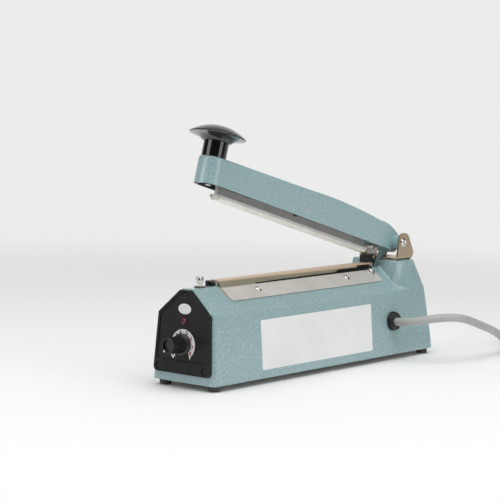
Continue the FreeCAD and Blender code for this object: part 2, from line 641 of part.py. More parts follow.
add(panel, "Pocket", shanks, "panel_proud + 2", backwards=True)
node(place(panel, "face"), "front_panel")

panel_screws = []
for spot in (("-panel_screw_y", "panel_screw_low"), ("panel_screw_y", "panel_screw_low"),
             ("0", "panel_screw_high")):
    seat = "-panel_proud + panel_pocket"
    screw = turned("panel_screw", "X", [
        ("0", seat + " - panel_head_thick"), ("panel_head_radius * 0.7", seat + " - panel_head_thick"),
        ("panel_head_radius", seat + " - panel_head_thick / 2"), ("panel_head_radius", seat),
        ("panel_screw_radius", seat), ("panel_screw_radius", "panel_screw_depth"),
        ("0", "panel_screw_depth")])
    panel_screws.append(place(screw, "face", "0", *spot))
node(combine("Compound", "panel_screws", *panel_screws), "panel_screws")

# Indicator lamp: red lens in front, neon lamp in its holder behind

lamp_front = "-panel_proud + panel_recess - lamp_proud"
node(place(turned("lamp_lens", "X", [
    ("0", lamp_front), ("lamp_radius * 0.6", lamp_front), ("lamp_radius", lamp_front + " + 0.8"),
    ("lamp_radius", "-0.4"), ("0", "-0.4")]), "face", "0", "0", "lamp_height"), "lamp_lens")
node(place(turned("lamp_holder", "X", [
    ("0", "-0.4"), ("lamp_radius", "-0.4"), ("lamp_radius", "0"), ("lamp_flange", "0"),
    ("lamp_flange", "1"), ("lamp_radius", "1"), ("lamp_radius", "lamp_depth"), ("0", "lamp_depth")]),
    "face", "0", "0", "lamp_height"), "lamp_holder")

# Timer potentiometer: threaded bush through the panel, nut in front, can and spindle

field_front = "-panel_proud + panel_recess"
node(place(turned("potentiometer", "X", [
    ("spindle_radius + running_clearance", field_front + " - nut_thick - pot_washer"),
    ("bush_radius", field_front + " - nut_thick - pot_washer"), ("bush_radius", "0"),
    ("pot_radius", "0"), ("pot_radius", "pot_depth"), ("0", "pot_depth"), ("0", "2"),
    ("spindle_radius + running_clearance", "2")]), "face", "0", "0", "dial_height"), "potentiometer")
node(place(turned("timer_spindle", "X", rod_profile(
    "spindle_radius", field_front + " - spindle_length", "1.8")), "face", "0", "0", "dial_height"),
    "timer_spindle")

# Timer knob: ribbed skirtless grip on a flange, with a hollow face

knob_back = "%s - knob_gap" % field_front
knob_face = "-panel_proud - knob_reach"
knob_shape = turned("timer_knob", "X", [
    ("spindle_radius", field_front + " - spindle_length"),
    ("0", field_front + " - spindle_length"), ("0", knob_face + " + knob_hollow_depth"),
    ("knob_hollow_radius", knob_face + " + knob_hollow_depth"), ("knob_hollow_radius", knob_face),
    ("knob_tip_radius", knob_face), ("knob_root_radius", knob_back + " - knob_flange_thick"),
    ("knob_flange_radius", knob_back + " - knob_flange_thick + 0.6"), ("knob_flange_radius", knob_back),
    ("nut_radius + 0.6", knob_back), ("nut_radius + 0.6", field_front + " - nut_thick - pot_washer - 0.6"),
    ("spindle_radius", field_front + " - nut_thick - pot_washer - 0.6")])
groove = knob_shape.newObject("Sketcher::SketchObject", "rib_groove")
front_plane = next(item for item in knob_shape.Origin.OriginFeatures if item.Role == "YZ_Plane")
groove.AttachmentSupport = [(front_plane, "")]
groove.MapMode = "FlatFace"
groove.setExpression(".AttachmentOffset.Base.z", ex(knob_face + " - 1"))
circle(groove, ("0", "knob_tip_radius + knob_rib_radius * 0.6"), "knob_rib_radius")
cut = add(knob_shape, "Pocket", groove, "knob_reach - knob_gap - knob_flange_thick", backwards=True)
doc.recompute()
pattern = knob_shape.newObject("PartDesign::PolarPattern", "ribs")
pattern.Originals = [cut]
pattern.Axis = (groove, ["N_Axis"])
pattern.Angle = 360
pattern.Occurrences = int(size("knob_ribs"))
knob_shape.Tip = pattern
node(place(knob_shape, "face", "0", "0", "dial_height"), "timer_knob")

nut = new_body("potentiometer_nut")
hexagon = new_sketch(nut, "YZ", "-(nut_thick + pot_washer)")
polygon(hexagon, [("nut_radius * cos(%d)" % turn, "nut_radius * sin(%d)" % turn)
                  for turn in range(0, 360, 60)])
circle(hexagon, ("0", "0"), "bush_radius + running_clearance")
add(nut, "Pad", hexagon, "nut_thick")
washer_ring = new_sketch(nut, "YZ", "-pot_washer")
circle(washer_ring, ("0", "0"), "nut_radius")
circle(washer_ring, ("0", "0"), "bush_radius + running_clearance")
add(nut, "Pad", washer_ring, "pot_washer")
node(place(nut, "face", field_front, "0", "dial_height"), "potentiometer_nut")

# Timer board on four pillars behind the panel

board = new_body("timer_board")
board_sketch = new_sketch(board, "YZ", "board_gap")
polygon(board_sketch, mirrored_points([
    ("board_width / 2", "dial_height - board_height / 2"),
    ("board_width / 2", "dial_height + board_height / 2")]))
pillar_spots = [("%d * pillar_y" % side, height) for side in (-1, 1)
                for height in ("pillar_low + 2", "pillar_high + 2")]
for spot in pillar_spots:
    circle(board_sketch, spot, "pillar_radius / 2 + running_clearance")
add(board, "Pad", board_sketch, "board_thick")
for across, up, wide, tall, deep in ((-0.33, 0.13, 0.21, 0.24, 0.3), (0.21, 0.21, 0.31, 0.21, 0.26),
                                     (-0.31, -0.26, 0.17, 0.18, 0.35), (0.19, -0.29, 0.36, 0.21, 0.18)):
    block = new_sketch(board, "YZ", "board_gap + board_thick")
    polygon(block, [("%s * board_width" % (across + side * wide / 2),
                     "dial_height + %s * board_height" % (up + rise * tall / 2))
                    for side, rise in ((-1, -1), (1, -1), (1, 1), (-1, 1))])
    add(board, "Pad", block, "%s * board_height" % deep)
node(place(board, "face"), "timer_board")
pillars = []
for spot_y, spot_z in pillar_spots:
    pillar = turned("board_pillar", "X", [
        ("0", "0"), ("pillar_radius", "0"), ("pillar_radius", "board_gap"),
        ("pillar_radius / 2", "board_gap"), ("pillar_radius / 2", "board_gap + board_thick + 1"),
        ("0", "board_gap + board_thick + 1")])
    pillars.append(place(pillar, "face", "0", spot_y, spot_z))
node(combine("Compound", "board_pillars", *pillars), "board_pillars")

# Transformer: laminated core, two-flange winding and the strap that holds it to the bottom plate

floor_top = "foot_height + plate_thick"
core = new_body("transformer_core")
core_sketch = new_sketch(core, "XZ")
polygon(core_sketch, [("-core_width / 2", "0"), ("core_width / 2", "0"), ("core_width / 2", "core_height"),
                      ("-core_width / 2", "core_height")])
for side in (-1, 1):
    centre_x = "%d * core_width / 4" % side
    polygon(core_sketch, [
        (centre_x + " - core_window_width / 2", "(core_height - core_window_height) / 2"),
        (centre_x + " + core_window_width / 2", "(core_height - core_window_height) / 2"),
        (centre_x + " + core_window_width / 2", "(core_height + core_window_height) / 2"),
        (centre_x + " - core_window_width / 2", "(core_height + core_window_height) / 2")])
add(core, "Pad", core_sketch, "core_stack", both_sides=True)
node(place(core, "case", "core_x", "0", floor_top), "transformer_core")

winding = new_body("transformer_winding")
limb = "(core_width / 4 - core_window_width / 2)"
reach = "(core_width / 4 + core_window_width / 2 - 0.3)"
wind = new_sketch(winding, "XY", "(core_height - core_window_height) / 2 + 0.2")
polygon(wind, [("-" + reach, "-core_stack / 2 - coil_bulge"), (reach, "-core_stack / 2 - coil_bulge"),
               (reach, "core_stack / 2 + coil_bulge"), ("-" + reach, "core_stack / 2 + coil_bulge")])
polygon(wind, [("-%s - 0.2" % limb, "-core_stack / 2 - 0.2"), (limb + " + 0.2", "-core_stack / 2 - 0.2"),
               (limb + " + 0.2", "core_stack / 2 + 0.2"), ("-%s - 0.2" % limb, "core_stack / 2 + 0.2")])
add(winding, "Pad", wind, "core_window_height - 0.4")
node(place(winding, "case", "core_x", "0", floor_top), "transformer_winding")

strap = new_body("transformer_strap")
out, top = "(core_width / 2 + strap_thick)", "(core_height + strap_thick)"
strap_sketch = polygon(new_sketch(strap, "XZ"), mirrored_points([
    ("core_width / 2", "core_height"), ("core_width / 2", "0"), (out + " + strap_foot", "0"),
    (out + " + strap_foot", "strap_thick"), (out, "strap_thick"), (out, top)])[::-1])
add(strap, "Pad", strap_sketch, "strap_width", both_sides=True)
strap_holes = new_sketch(strap, "XY", "-1")
for side in (-1, 1):
    circle(strap_holes, ("%d * (%s + strap_foot / 2)" % (side, out), "0"),
           "strap_screw_radius + running_clearance")
add(strap, "Pocket", strap_holes, "strap_thick + 2", backwards=True)
node(place(strap, "case", "core_x", "0", floor_top), "transformer_strap")
strap_screws = []
for side in (-1, 1):
    screw = turned("strap_screw", "Z", [
        ("0", "-plate_thick + 0.1"), ("strap_screw_radius", "-plate_thick + 0.1"),
        ("strap_screw_radius", "strap_thick"), ("strap_screw_radius * 1.9", "strap_thick"),
        ("strap_screw_radius * 1.9", "strap_thick + 2"), ("0", "strap_thick + 2")])
    strap_screws.append(place(screw, "case", "core_x + %d * (%s + strap_foot / 2)" % (side, out), "0",
                              floor_top))
strap_holes_low = new_sketch(bottom, "XY", "foot_height - 1")
for side in (-1, 1):
    circle(strap_holes_low, ("core_x + %d * (%s + strap_foot / 2)" % (side, out), "0"),
           "strap_screw_radius + running_clearance")
add(bottom, "Pocket", strap_holes_low, "plate_thick + 2", backwards=True)
node(combine("Compound", "strap_screws", *strap_screws), "transformer_screws")

# Push rod, its guide sleeve in the deck, and the micro switch under it

node(place(turned("push_rod", "Z", [
    ("0", "-rod_length"), ("rod_radius", "-rod_length"), ("rod_radius", "-rod_cap_height"),
    ("rod_cap_radius", "-rod_cap_height"), ("rod_cap_radius", "-0.5"), ("rod_cap_radius - 0.5", "0"),
    ("0", "0")]), "case", "-rod_x", "0", "rod_top"), "push_rod")
node(place(turned("rod_sleeve", "Z", [
    ("rod_radius + running_clearance", "sleeve_top - sleeve_length"),
    ("sleeve_radius", "sleeve_top - sleeve_length"), ("sleeve_radius", "0"), ("sleeve_flange", "0"),
    ("sleeve_flange", "sleeve_top"), ("rod_radius + running_clearance", "sleeve_top")]),
    "case", "-rod_x", "0", "deck_height"), "rod_sleeve")
button_top = "rod_low - rod_travel - 0.1"
switch_body = box("switch_body", "case", ("-rod_x - switch_lead", "-rod_x - switch_lead + switch_width"),
                  half_span("switch_depth"),
                  (button_top + " - switch_button_height - switch_height",
                   button_top + " - switch_button_height"))
button = place(turned("switch_button", "Z", rod_profile("switch_button_radius", "-0.5",
                                                        "switch_button_height")),
               "case", "-rod_x", "0", button_top + " - switch_button_height")
node(combine("MultiFuse", "micro_switch", switch_body, button), "micro_switch")
bracket_side = "switch_depth / 2"
bracket_span = ("-rod_x + sleeve_flange + 1", "-rod_x - switch_lead + switch_width")
bracket_web = box("switch_web", "case", bracket_span,
                  (bracket_side, bracket_side + " + bracket_thick"),
                  (button_top + " - switch_button_height - switch_height", "ceiling - bracket_thick / 2"))
bracket_lid = box("switch_lid", "case", bracket_span, half_span("switch_depth"),
                  ("ceiling - bracket_thick", "ceiling"))
node(combine("MultiFuse", "switch_bracket", bracket_web, bracket_lid), "switch_bracket")

# Sealing bar with insulating tape, heating element and the cloth over them

bar = box("sealing_bar", "case", ("-bar_front", "bar_rear"), half_span("bar_width"),
          ("deck_height", "bar_top"))
bar_holes = [place(turned("bar_bore", "Z", rod_profile("shank_radius + running_clearance", "-1",
                                                       "bar_height - 1")),
                   "case", at_x, "0", "deck_height") for at_x in ("-bar_front + 12", "bar_rear - 16")]
node(combine("Cut", "sealing_bar", bar, combine("MultiFuse", "bar_bores", *bar_holes)), "sealing_bar")
bar_screws = []
for at_x in ("-bar_front + 12", "bar_rear - 16"):
    screw = turned("bar_screw", "Z", [
        ("0", "-wall - 2"), ("dome_radius", "-wall - 2"), ("dome_radius", "-wall"),
        ("shank_radius", "-wall"), ("shank_radius", "bar_height - 1.2"), ("0", "bar_height - 1.2")])
    bar_screws.append(place(screw, "case", at_x, "0", "deck_height"))
node(combine("Compound", "bar_screws", *bar_screws), "bar_screws")
node(box("bar_tape", "case", ("-bar_front", "bar_rear"), half_span("bar_width"),
         ("bar_top", "element_under")), "bar_tape")
node(box("heating_element", "case", ("-bar_front", "bar_rear"), half_span("element_width"),
         ("element_under", "cloth_under")), "heating_element")


def cloth_points(off):
    """Half outline of the cloth in the YZ plane, moved out from the case and the bar by off."""
    corner = "(%s) * tan(slope_angle / 2)" % off
    down_y = "cloth_tuck * cos(slope_angle) + (%s) * sin(slope_angle)" % off
    down_z = "cloth_tuck * sin(slope_angle) - (%s) * cos(slope_angle)" % off
    return [("bar_width / 2 + (%s)" % off, "cloth_under + (%s)" % off),
            ("bar_width / 2 + (%s)" % off, "deck_height + (%s)" % off),
            ("deck_edge + " + corner, "deck_height + (%s)" % off),
            ("deck_edge + " + down_y, "deck_height - (%s)" % down_z)]


cloth = new_body("sealing_cloth")
right_edge = cloth_points("0.02")[::-1] + [("-(%s)" % a, b) for a, b in cloth_points("0.02")]
left_edge = [("-(%s)" % a, b) for a, b in cloth_points("cloth_thick")[::-1]] + cloth_points("cloth_thick")
cloth_sketch = polygon(new_sketch(cloth, "YZ", "-cloth_front"), right_edge + left_edge)
add(cloth, "Pad", cloth_sketch, "cloth_front + cloth_rear")
place(cloth, "case")
cloth_holes = []
for side, frame in ((-1, "slope_near"), (1, "slope_far")):
    for at_x, down_by in (("-strip_screw_front", "strip_screw_down"), ("strip_screw_rear", "strip_screw_down"),
                          ("corner_screw_x", "corner_screw_down")):
        hole = turned("cloth_hole", "Z", rod_profile("shank_radius + 0.2", "-1", "cloth_thick + 1"))
        cloth_holes.append(place(hole, frame, at_x, "%d * (%s)" % (side, down_by)))
node(combine("Cut", "punched_cloth", cloth, combine("MultiFuse", "cloth_holes", *cloth_holes)),
     "sealing_cloth")

# Cloth plates: plated strips that clamp the cloth down on both shoulders

for side, frame, name in ((-1, "slope_near", "cloth_plate_near"), (1, "slope_far", "cloth_plate_far")):
    strip = new_body(name)

    def down(text, side=side):
        return "%d * (%s)" % (side, text)

    outline = [("-strip_front", down("strip_start")),
               ("strip_rear - strip_notch_length", down("strip_start")),
               ("strip_rear - strip_notch_length", down("strip_start + strip_notch_depth")),
               ("strip_rear", down("strip_start + strip_notch_depth")),
               ("strip_rear", down("strip_start + strip_width")),
               ("-strip_front", down("strip_start + strip_width"))]
    add(strip, "Pad", polygon(new_sketch(strip, "XY", "cloth_thick"), outline), "strip_thick")
    round_edges(strip, "strip_corner", lambda edge: runs_along(edge, AXIS_Z)
                and middle(edge).x < 0 and abs(middle(edge).y) > size("strip_width"))
    strip_holes = new_sketch(strip, "XY", "cloth_thick - 1")
    for at_x, down_by in (("-strip_screw_front", "strip_screw_down"), ("strip_screw_rear", "strip_screw_down"),
                          ("corner_screw_x", "corner_screw_down")):
        circle(strip_holes, (at_x, down(down_by)), "shank_radius + 0.2")
    add(strip, "Pocket", strip_holes, "strip_thick + 2", backwards=True)
    node(place(strip, frame), name)

strip_screws = []
strip_washers = []
for side, frame in ((-1, "slope_near"), (1, "slope_far")):
    for at_x, down_by, seat in (("-strip_screw_front", "strip_screw_down", "cloth_thick + strip_thick"),
                                ("strip_screw_rear", "strip_screw_down", "cloth_thick + strip_thick"),
                                ("corner_screw_x", "corner_screw_down",
                                 "cloth_thick + strip_thick + washer_thick")):
        screw = turned("strip_screw", "Z", [
            ("0", "-shank_length + 0.4"), ("shank_radius", "-shank_length + 0.4"), ("shank_radius", seat),
            ("dome_radius", seat), ("dome_radius", seat + " + dome_height / 2"),
            ("dome_radius * 0.6", seat + " + dome_height"), ("0", seat + " + dome_height")])
        strip_screws.append(place(screw, frame, at_x, "%d * (%s)" % (side, down_by)))
    washer = turned("corner_washer", "Z", tube_profile(
        "shank_radius + running_clearance", "washer_radius", "cloth_thick + strip_thick",
        "cloth_thick + strip_thick + washer_thick"))
    strip_washers.append(place(washer, frame, "corner_screw_x", "%d * corner_screw_down" % side))
node(combine("Compound", "strip_screws", *strip_screws), "plate_screws")
node(combine("Compound", "strip_washers", *strip_washers), "corner_washers")

# Clamps at both ends of the element

front_clamp = box("front_clamp", "case", ("-bar_front - clamp_length - 0.3", "-bar_front - 0.3"),
                  half_span("clamp_width"), ("deck_height", "front_clamp_top"))
node(front_clamp, "front_clamp_block")
rear_clamp = new_body("rear_clamp")
add(rear_clamp, "Pad", polygon(new_sketch(rear_clamp, "XZ"), [
    ("rear_clamp_front", "cloth_top"), ("cloth_rear + 0.4", "cloth_top"), ("cloth_rear + 0.4", "cloth_under"),
    ("rear_clamp_front + rear_clamp_length", "cloth_under"),
    ("rear_clamp_front + rear_clamp_length", "rear_clamp_top"), ("rear_clamp_front", "rear_clamp_top")]),
    "clamp_width", both_sides=True)
node(place(rear_clamp, "case"), "rear_clamp_block")

# Hinge bracket: steel U on the block, its two ears carrying the hinge pin

hinge = new_body("hinge_bracket")
add(hinge, "Pad", polygon(new_sketch(hinge, "XZ"), [
    ("bracket_front", "block_height"), ("bracket_rear", "block_height"),
    ("ear_rear_low", "block_height + ear_rear_low_height"), ("ear_rear_top", "bracket_top + ear_height"),
    ("ear_front_top", "bracket_top + ear_height")]), "bracket_width", both_sides=True)
add(hinge, "Pocket", polygon(new_sketch(hinge, "XZ"), [
    ("bracket_front - 10", "bracket_top"), ("ear_rear_low + 10", "bracket_top"),
    ("ear_rear_low + 10", "bracket_top + 2 * ear_height"),
    ("bracket_front - 10", "bracket_top + 2 * ear_height")]), "2 * ear_inner", both_sides=True)


def ear_corner(x_text, z_text):
    """A test for the edges across the ears at one corner of their outline."""
    return lambda edge: runs_along(edge, AXIS_Y) and abs(middle(edge).x - size(x_text)) < 0.01 and \
        abs(middle(edge).z - size(z_text)) < 0.01


round_edges(hinge, "ear_round_front", ear_corner("ear_front_top", "bracket_top + ear_height"))
round_edges(hinge, "ear_round_rear", ear_corner("ear_rear_top", "bracket_top + ear_height"))
round_edges(hinge, "ear_round_low", ear_corner("ear_rear_low", "block_height + ear_rear_low_height"))
round_edges(hinge, "bracket_bend", lambda edge: runs_along(edge, AXIS_X)
            and abs(middle(edge).z - size("block_height")) < 0.01)
pin_holes = new_sketch(hinge, "XZ")
circle(pin_holes, ("hinge_x", "hinge_height"), "pin_radius + running_clearance")
add(hinge, "Pocket", pin_holes, "2 * bracket_width", both_sides=True)
slot = new_sketch(hinge, "XY", "block_height - 1")
polygon(slot, [("bracket_front - 5", "-tail_slot_width / 2"), ("tail_slot_rear", "-tail_slot_width / 2"),
               ("tail_slot_rear", "tail_slot_width / 2"), ("bracket_front - 5", "tail_slot_width / 2")])
for side in (-1, 1):
    circle(slot, ("bracket_screw_x", "%d * bracket_screw_y" % side), "bracket_screw_radius + 0.1")
add(hinge, "Pocket", slot, "bracket_sheet + 2", backwards=True)
node(place(hinge, "case"), "hinge_bracket")

bracket_screws = []
for side in (-1, 1):
    screw = turned("bracket_screw", "Z", [
        ("0", "-8"), ("bracket_screw_radius", "-8"), ("bracket_screw_radius", "bracket_sheet"),
        ("bracket_head_radius", "bracket_sheet"),
        ("bracket_head_radius", "bracket_sheet + bracket_head_thick / 2"),
        ("bracket_head_radius * 0.7", "bracket_sheet + bracket_head_thick"),
        ("0", "bracket_sheet + bracket_head_thick")])
    bracket_screws.append(place(screw, "case", "bracket_screw_x", "%d * bracket_screw_y" % side,
                                "block_height"))
node(combine("Compound", "bracket_screws", *bracket_screws), "bracket_screws")

# Hinge pin: a long screw through both ears, with a nut on the far side

ear_outer = "bracket_width / 2"
node(place(turned("hinge_pin", "Y", [
    ("0", "-(%s) - pin_head_thick" % ear_outer), ("pin_head_radius * 0.7", "-(%s) - pin_head_thick" % ear_outer),
    ("pin_head_radius", "-(%s) - pin_head_thick / 2" % ear_outer), ("pin_head_radius", "-" + ear_outer),
    ("pin_radius", "-" + ear_outer), ("pin_radius", ear_outer + " + pin_nut_thick + 0.8"),
    ("0", ear_outer + " + pin_nut_thick + 0.8")]), "case", "hinge_x", "0", "hinge_height"), "hinge_pin")
pin_nut = new_body("hinge_nut")
nut_sketch = new_sketch(pin_nut, "XZ", "-(%s) - pin_nut_thick" % ear_outer)
polygon(nut_sketch, [("pin_nut_radius * cos(%d)" % turn, "pin_nut_radius * sin(%d)" % turn)
                     for turn in range(30, 390, 60)])
circle(nut_sketch, ("0", "0"), "pin_radius + running_clearance")
add(pin_nut, "Pad", nut_sketch, "pin_nut_thick")
node(place(pin_nut, "case", "hinge_x", "0", "hinge_height"), "hinge_nut")

# Arm: hollow casting, open below, with a round front boss, a hinge barrel and a tail for the spring

arm = new_body("arm")
arm_outline = [("-arm_reach", "-arm_low"), ("0", "-arm_low"),
               ("arm_end_radius * cos(arm_end_turn)", "arm_end_radius * sin(arm_end_turn)"),
               ("-arm_rear", "arm_rear_top"), ("-arm_crest", "arm_crest_top"),
               ("-arm_reach", "arm_front_top")]
add(arm, "Pad", polygon(new_sketch(arm, "XZ"), arm_outline, {2: "arm_rear_bow", 3: "arm_crest_bow"}),
    "arm_width", both_sides=True)
arm_end = new_sketch(arm, "XZ")
circle(arm_end, ("0", "0"), "arm_end_radius")
add(arm, "Pad", arm_end, "arm_width", both_sides=True)
boss = new_sketch(arm, "XY", "-arm_low")
circle(boss, ("-arm_reach", "0"), "arm_width / 2")
add(arm, "Pad", boss, "arm_low + arm_front_top")


def arm_top_edges(edge):
    """True for the edges between the arm's top and its sides."""
    point = middle(edge)
    on_side = abs(abs(point.y) - size("arm_width / 2")) < 0.01
    on_nose = point.x < -size("arm_reach") and point.z > size("arm_front_top") - 0.01
    return (on_side and point.z > size("arm_end_radius") - 2 and not runs_along(edge, AXIS_Z)) or on_nose


round_edges(arm, "arm_round", arm_top_edges)
barrel = new_sketch(arm, "XZ")
circle(barrel, ("0", "0"), "barrel_radius")
add(arm, "Pad", barrel, "2 * (ear_inner - side_clearance)", both_sides=True)
seat = new_sketch(arm, "XY", "arm_front_top")
circle(seat, ("-arm_reach", "0"), "collar_radius + cap_clearance")
add(arm, "Pocket", seat, "arm_roof", backwards=True)
hollow = polygon(new_sketch(arm, "XZ"), [
    ("-arm_reach", "-arm_low - 1"), ("-arm_hollow_end", "-arm_low - 1"), ("-arm_hollow_end", "3"),
    ("-arm_rear - 2", "arm_rear_top - arm_roof"), ("-arm_crest", "arm_crest_top - arm_roof - 0.6"),
    ("-arm_reach", "arm_front_top - arm_roof")])
add(arm, "Pocket", hollow, "arm_width - 2 * arm_wall", both_sides=True)
boss_hollow = new_sketch(arm, "XY", "-arm_low - 1")
circle(boss_hollow, ("-arm_reach", "0"), "arm_width / 2 - arm_wall")
add(arm, "Pocket", boss_hollow, "arm_low + 1 + arm_front_top - arm_roof", backwards=True)
guide = new_sketch(arm, "XY", "plunger_guide_low")
circle(guide, ("-arm_reach", "0"), "plunger_guide_radius")
add(arm, "Pad", guide, "arm_front_top - plunger_guide_low - 0.5")
tail = new_sketch(arm, "XZ")
polygon(tail, [("tail_root + tail_width / 2", "-2"), ("tail_root - tail_width / 2", "-arm_low - 1"),
               ("-tail_bend_x - tail_width / 2", "-tail_bend"), ("-tail_end_x - tail_tip_width / 2", "-tail_end"),
               ("-tail_end_x + tail_tip_width / 2", "-tail_end"), ("-tail_bend_x + tail_width / 2", "-tail_bend"),
               ("tail_root + tail_width / 2", "-arm_low - 1")])
add(arm, "Pad", tail, "tail_thick", both_sides=True)
round_edges(arm, "tail_tip_width * 0.4", lambda edge: runs_along(edge, AXIS_Y)
            and abs(middle(edge).z + size("tail_end")) < 0.01)
arm_bores = new_sketch(arm, "XZ")
circle(arm_bores, ("0", "0"), "hinge_bush_radius")
circle(arm_bores, ("-press_pin_x", "-press_pin_drop"), "press_pin_radius")
circle(arm_bores, ("-tail_end_x", "-tail_end + hook_hole_up"), "hook_hole_radius")
add(arm, "Pocket", arm_bores, "3 * arm_width", both_sides=True)
plunger_bore = new_sketch(arm, "XY", "-arm_low")
circle(plunger_bore, ("-arm_reach", "0"), "plunger_radius + running_clearance")
add(arm, "Pocket", plunger_bore, "arm_low + arm_front_top + 5", backwards=True)
clip_hole = new_sketch(arm, "XY", "-arm_low - 1")
circle(clip_hole, ("-clip_x - clip_foot / 2", "0"), "clip_screw_radius")
pad_block = new_sketch(arm, "XY", "-arm_low")
polygon(pad_block, [("-clip_x - clip_foot", "-clip_width / 2 - 1"), ("-arm_hollow_end + 1", "-clip_width / 2 - 1"),
                    ("-arm_hollow_end + 1", "clip_width / 2 + 1"), ("-clip_x - clip_foot", "clip_width / 2 + 1")])
add(arm, "Pad", pad_block, "arm_low + 6")
add(arm, "Pocket", clip_hole, "arm_low + 2", backwards=True)
node(place(arm, "arm"), "arm")

bushes = []
for side in (-1, 1):
    span = ("ear_inner - side_clearance - hinge_bush_length", "ear_inner - side_clearance")
    profile = tube_profile("pin_radius + running_clearance", "hinge_bush_radius",
                           *("%d * (%s)" % (side, text) for text in span))
    bushes.append(place(turned("hinge_bush", "Y", profile), "arm"))
node(combine("Compound", "hinge_bushes", *bushes), "hinge_bushes")
node(place(turned("press_bar_pin", "Y", rod_profile(
    "press_pin_radius", "-arm_width / 2", "arm_width / 2")), "arm", "-press_pin_x", "0",
    "-press_pin_drop"), "press_bar_pin")

# Pressure bar: extruded inverted T whose foot is a channel for the silicone strip; it rocks on its pin

press = new_body("pressure_bar")
half, lip = "channel_width / 2", "lip_gap / 2"
press_sketch = polygon(new_sketch(press, "YZ", "-press_front"), mirrored_points([
    (lip, "-channel_low + channel_wall"), (lip, "-channel_low"), (half, "-channel_low"),
    (half, "-channel_top"), ("web_thick / 2", "-channel_top"), ("web_thick / 2", "web_top")])[0:6]
    + [("-(web_thick / 2)", "web_top"), ("-(web_thick / 2)", "-channel_top"), ("-(%s)" % half, "-channel_top"),
       ("-(%s)" % half, "-channel_low"), ("-(%s)" % lip, "-channel_low"),
       ("-(%s)" % lip, "-channel_low + channel_wall"), ("-(%s) + channel_wall" % half, "-channel_low + channel_wall"),
       ("-(%s) + channel_wall" % half, "-channel_roof"), (half + " - channel_wall", "-channel_roof"),
       (half + " - channel_wall", "-channel_low + channel_wall")])
add(press, "Pad", press_sketch, "press_front - press_rear")
press_holes = new_sketch(press, "XZ")
for step in (-1, 0, 1):
    circle(press_holes, ("-press_pin_x + %d * press_hole_pitch" % step, "-press_pin_drop"), "press_hole_radius")
add(press, "Pocket", press_holes, "2 * web_thick", both_sides=True)
node(place(press, "arm"), "pressure_bar")

strip_body = new_body("silicone_strip")
wide, tight = "channel_width / 2 - channel_wall - silicone_slack", "silicone_slack"
silicone = polygon(new_sketch(strip_body, "YZ", "-press_front + silicone_inset"), mirrored_points([
    ("silicone_width / 2", "-strip_low"), ("silicone_width / 2", "-channel_low + channel_wall + 0.1"),
    (wide, "-channel_low + channel_wall + 0.1"), (wide, "-channel_roof - " + tight)]))
add(strip_body, "Pad", silicone, "press_front - press_rear - silicone_inset")
node(place(strip_body, "arm"), "silicone_strip")

node(place(turned("press_grommet", "Y", [
    ("press_pin_radius + running_clearance", "-web_thick / 2 - grommet_flange"),
    ("press_hole_radius + 1", "-web_thick / 2 - grommet_flange"), ("press_hole_radius + 1", "-web_thick / 2"),
    ("press_hole_radius", "-web_thick / 2"), ("press_hole_radius", "web_thick / 2"),
    ("press_hole_radius + 1", "web_thick / 2"), ("press_hole_radius + 1", "web_thick / 2 + grommet_flange"),
    ("press_pin_radius + running_clearance", "web_thick / 2 + grommet_flange")]),
    "arm", "-press_pin_x", "0", "-press_pin_drop"), "press_grommet")

# Retaining clip: plated angle screwed under the arm behind the pressure bar

clip = new_body("bar_clip")
add(clip, "Pad", polygon(new_sketch(clip, "XZ"), [
    ("-clip_x", "-arm_low"), ("-clip_x - clip_foot", "-arm_low"),
    ("-clip_x - clip_foot", "-arm_low - clip_thick"), ("-clip_x - clip_thick", "-arm_low - clip_thick"),
    ("-clip_x - clip_thick", "-clip_drop"), ("-clip_x", "-clip_drop")]), "clip_width", both_sides=True)
clip_bore = new_sketch(clip, "XY", "-arm_low - clip_thick - 1")
circle(clip_bore, ("-clip_x - clip_foot / 2", "0"), "clip_screw_radius + 0.1")
add(clip, "Pocket", clip_bore, "clip_thick + 2", backwards=True)
node(place(clip, "arm"), "bar_clip")
node(place(turned("clip_screw", "Z", [
    ("0", "-clip_thick - 1.4"), ("clip_head_radius", "-clip_thick - 1.4"), ("clip_head_radius", "-clip_thick"),
    ("clip_screw_radius - 0.05", "-clip_thick"), ("clip_screw_radius - 0.05", "5"), ("0", "5")]),
    "arm", "-clip_x - clip_foot / 2", "0", "-arm_low"), "clip_screw")

# Mushroom knob: a fixed collar on the arm, the cap that slides on it, plunger and spring inside

node(place(turned("knob_collar", "Z", [
    ("plunger_radius + running_clearance", "arm_front_top"), ("collar_radius", "arm_front_top"),
    ("collar_radius", "collar_top"), ("collar_bore", "collar_top"),
    ("collar_bore", "arm_front_top + collar_floor"),
    ("plunger_radius + running_clearance", "arm_front_top + collar_floor")]),
    "arm", "-arm_reach"), "knob_collar")

cap = new_body("handle_knob")
cap_sketch = new_sketch(cap, "XZ")
dome_rise = "(cap_top - cap_rim + 0.5)"
dome_reach = "(cap_radius - cap_flat)"
dome_round = "(%s * %s / %s + %s) / 2" % (dome_reach, dome_reach, dome_rise, dome_rise)
cap_line = [("cap_flat", "cap_top"), ("0", "cap_top"), ("0", "plunger_set"), ("plunger_radius", "plunger_set"),
            ("plunger_radius", "cap_bore_top"), ("collar_radius + cap_clearance", "cap_bore_top"),
            ("collar_radius + cap_clearance", "cap_low"), ("cap_skirt_radius - 0.4", "cap_low"),
            ("cap_skirt_radius", "cap_low + 0.5"), ("cap_radius - 1.4", "cap_rim - cap_rim_thick"),
            ("cap_radius", "cap_rim - 0.5")]
corners = [Vector(size(a), size(b), 0) for a, b in cap_line]
dome_step = size(dome_reach) / 2
dome_big = size(dome_round)
dome_mid = Vector(size("cap_flat") + dome_step,
                  size("cap_top") - dome_big + math.sqrt(dome_big ** 2 - dome_step ** 2), 0)
for first, second in zip(corners, corners[1:]):
    cap_sketch.addGeometry(Part.LineSegment(first, second), False)
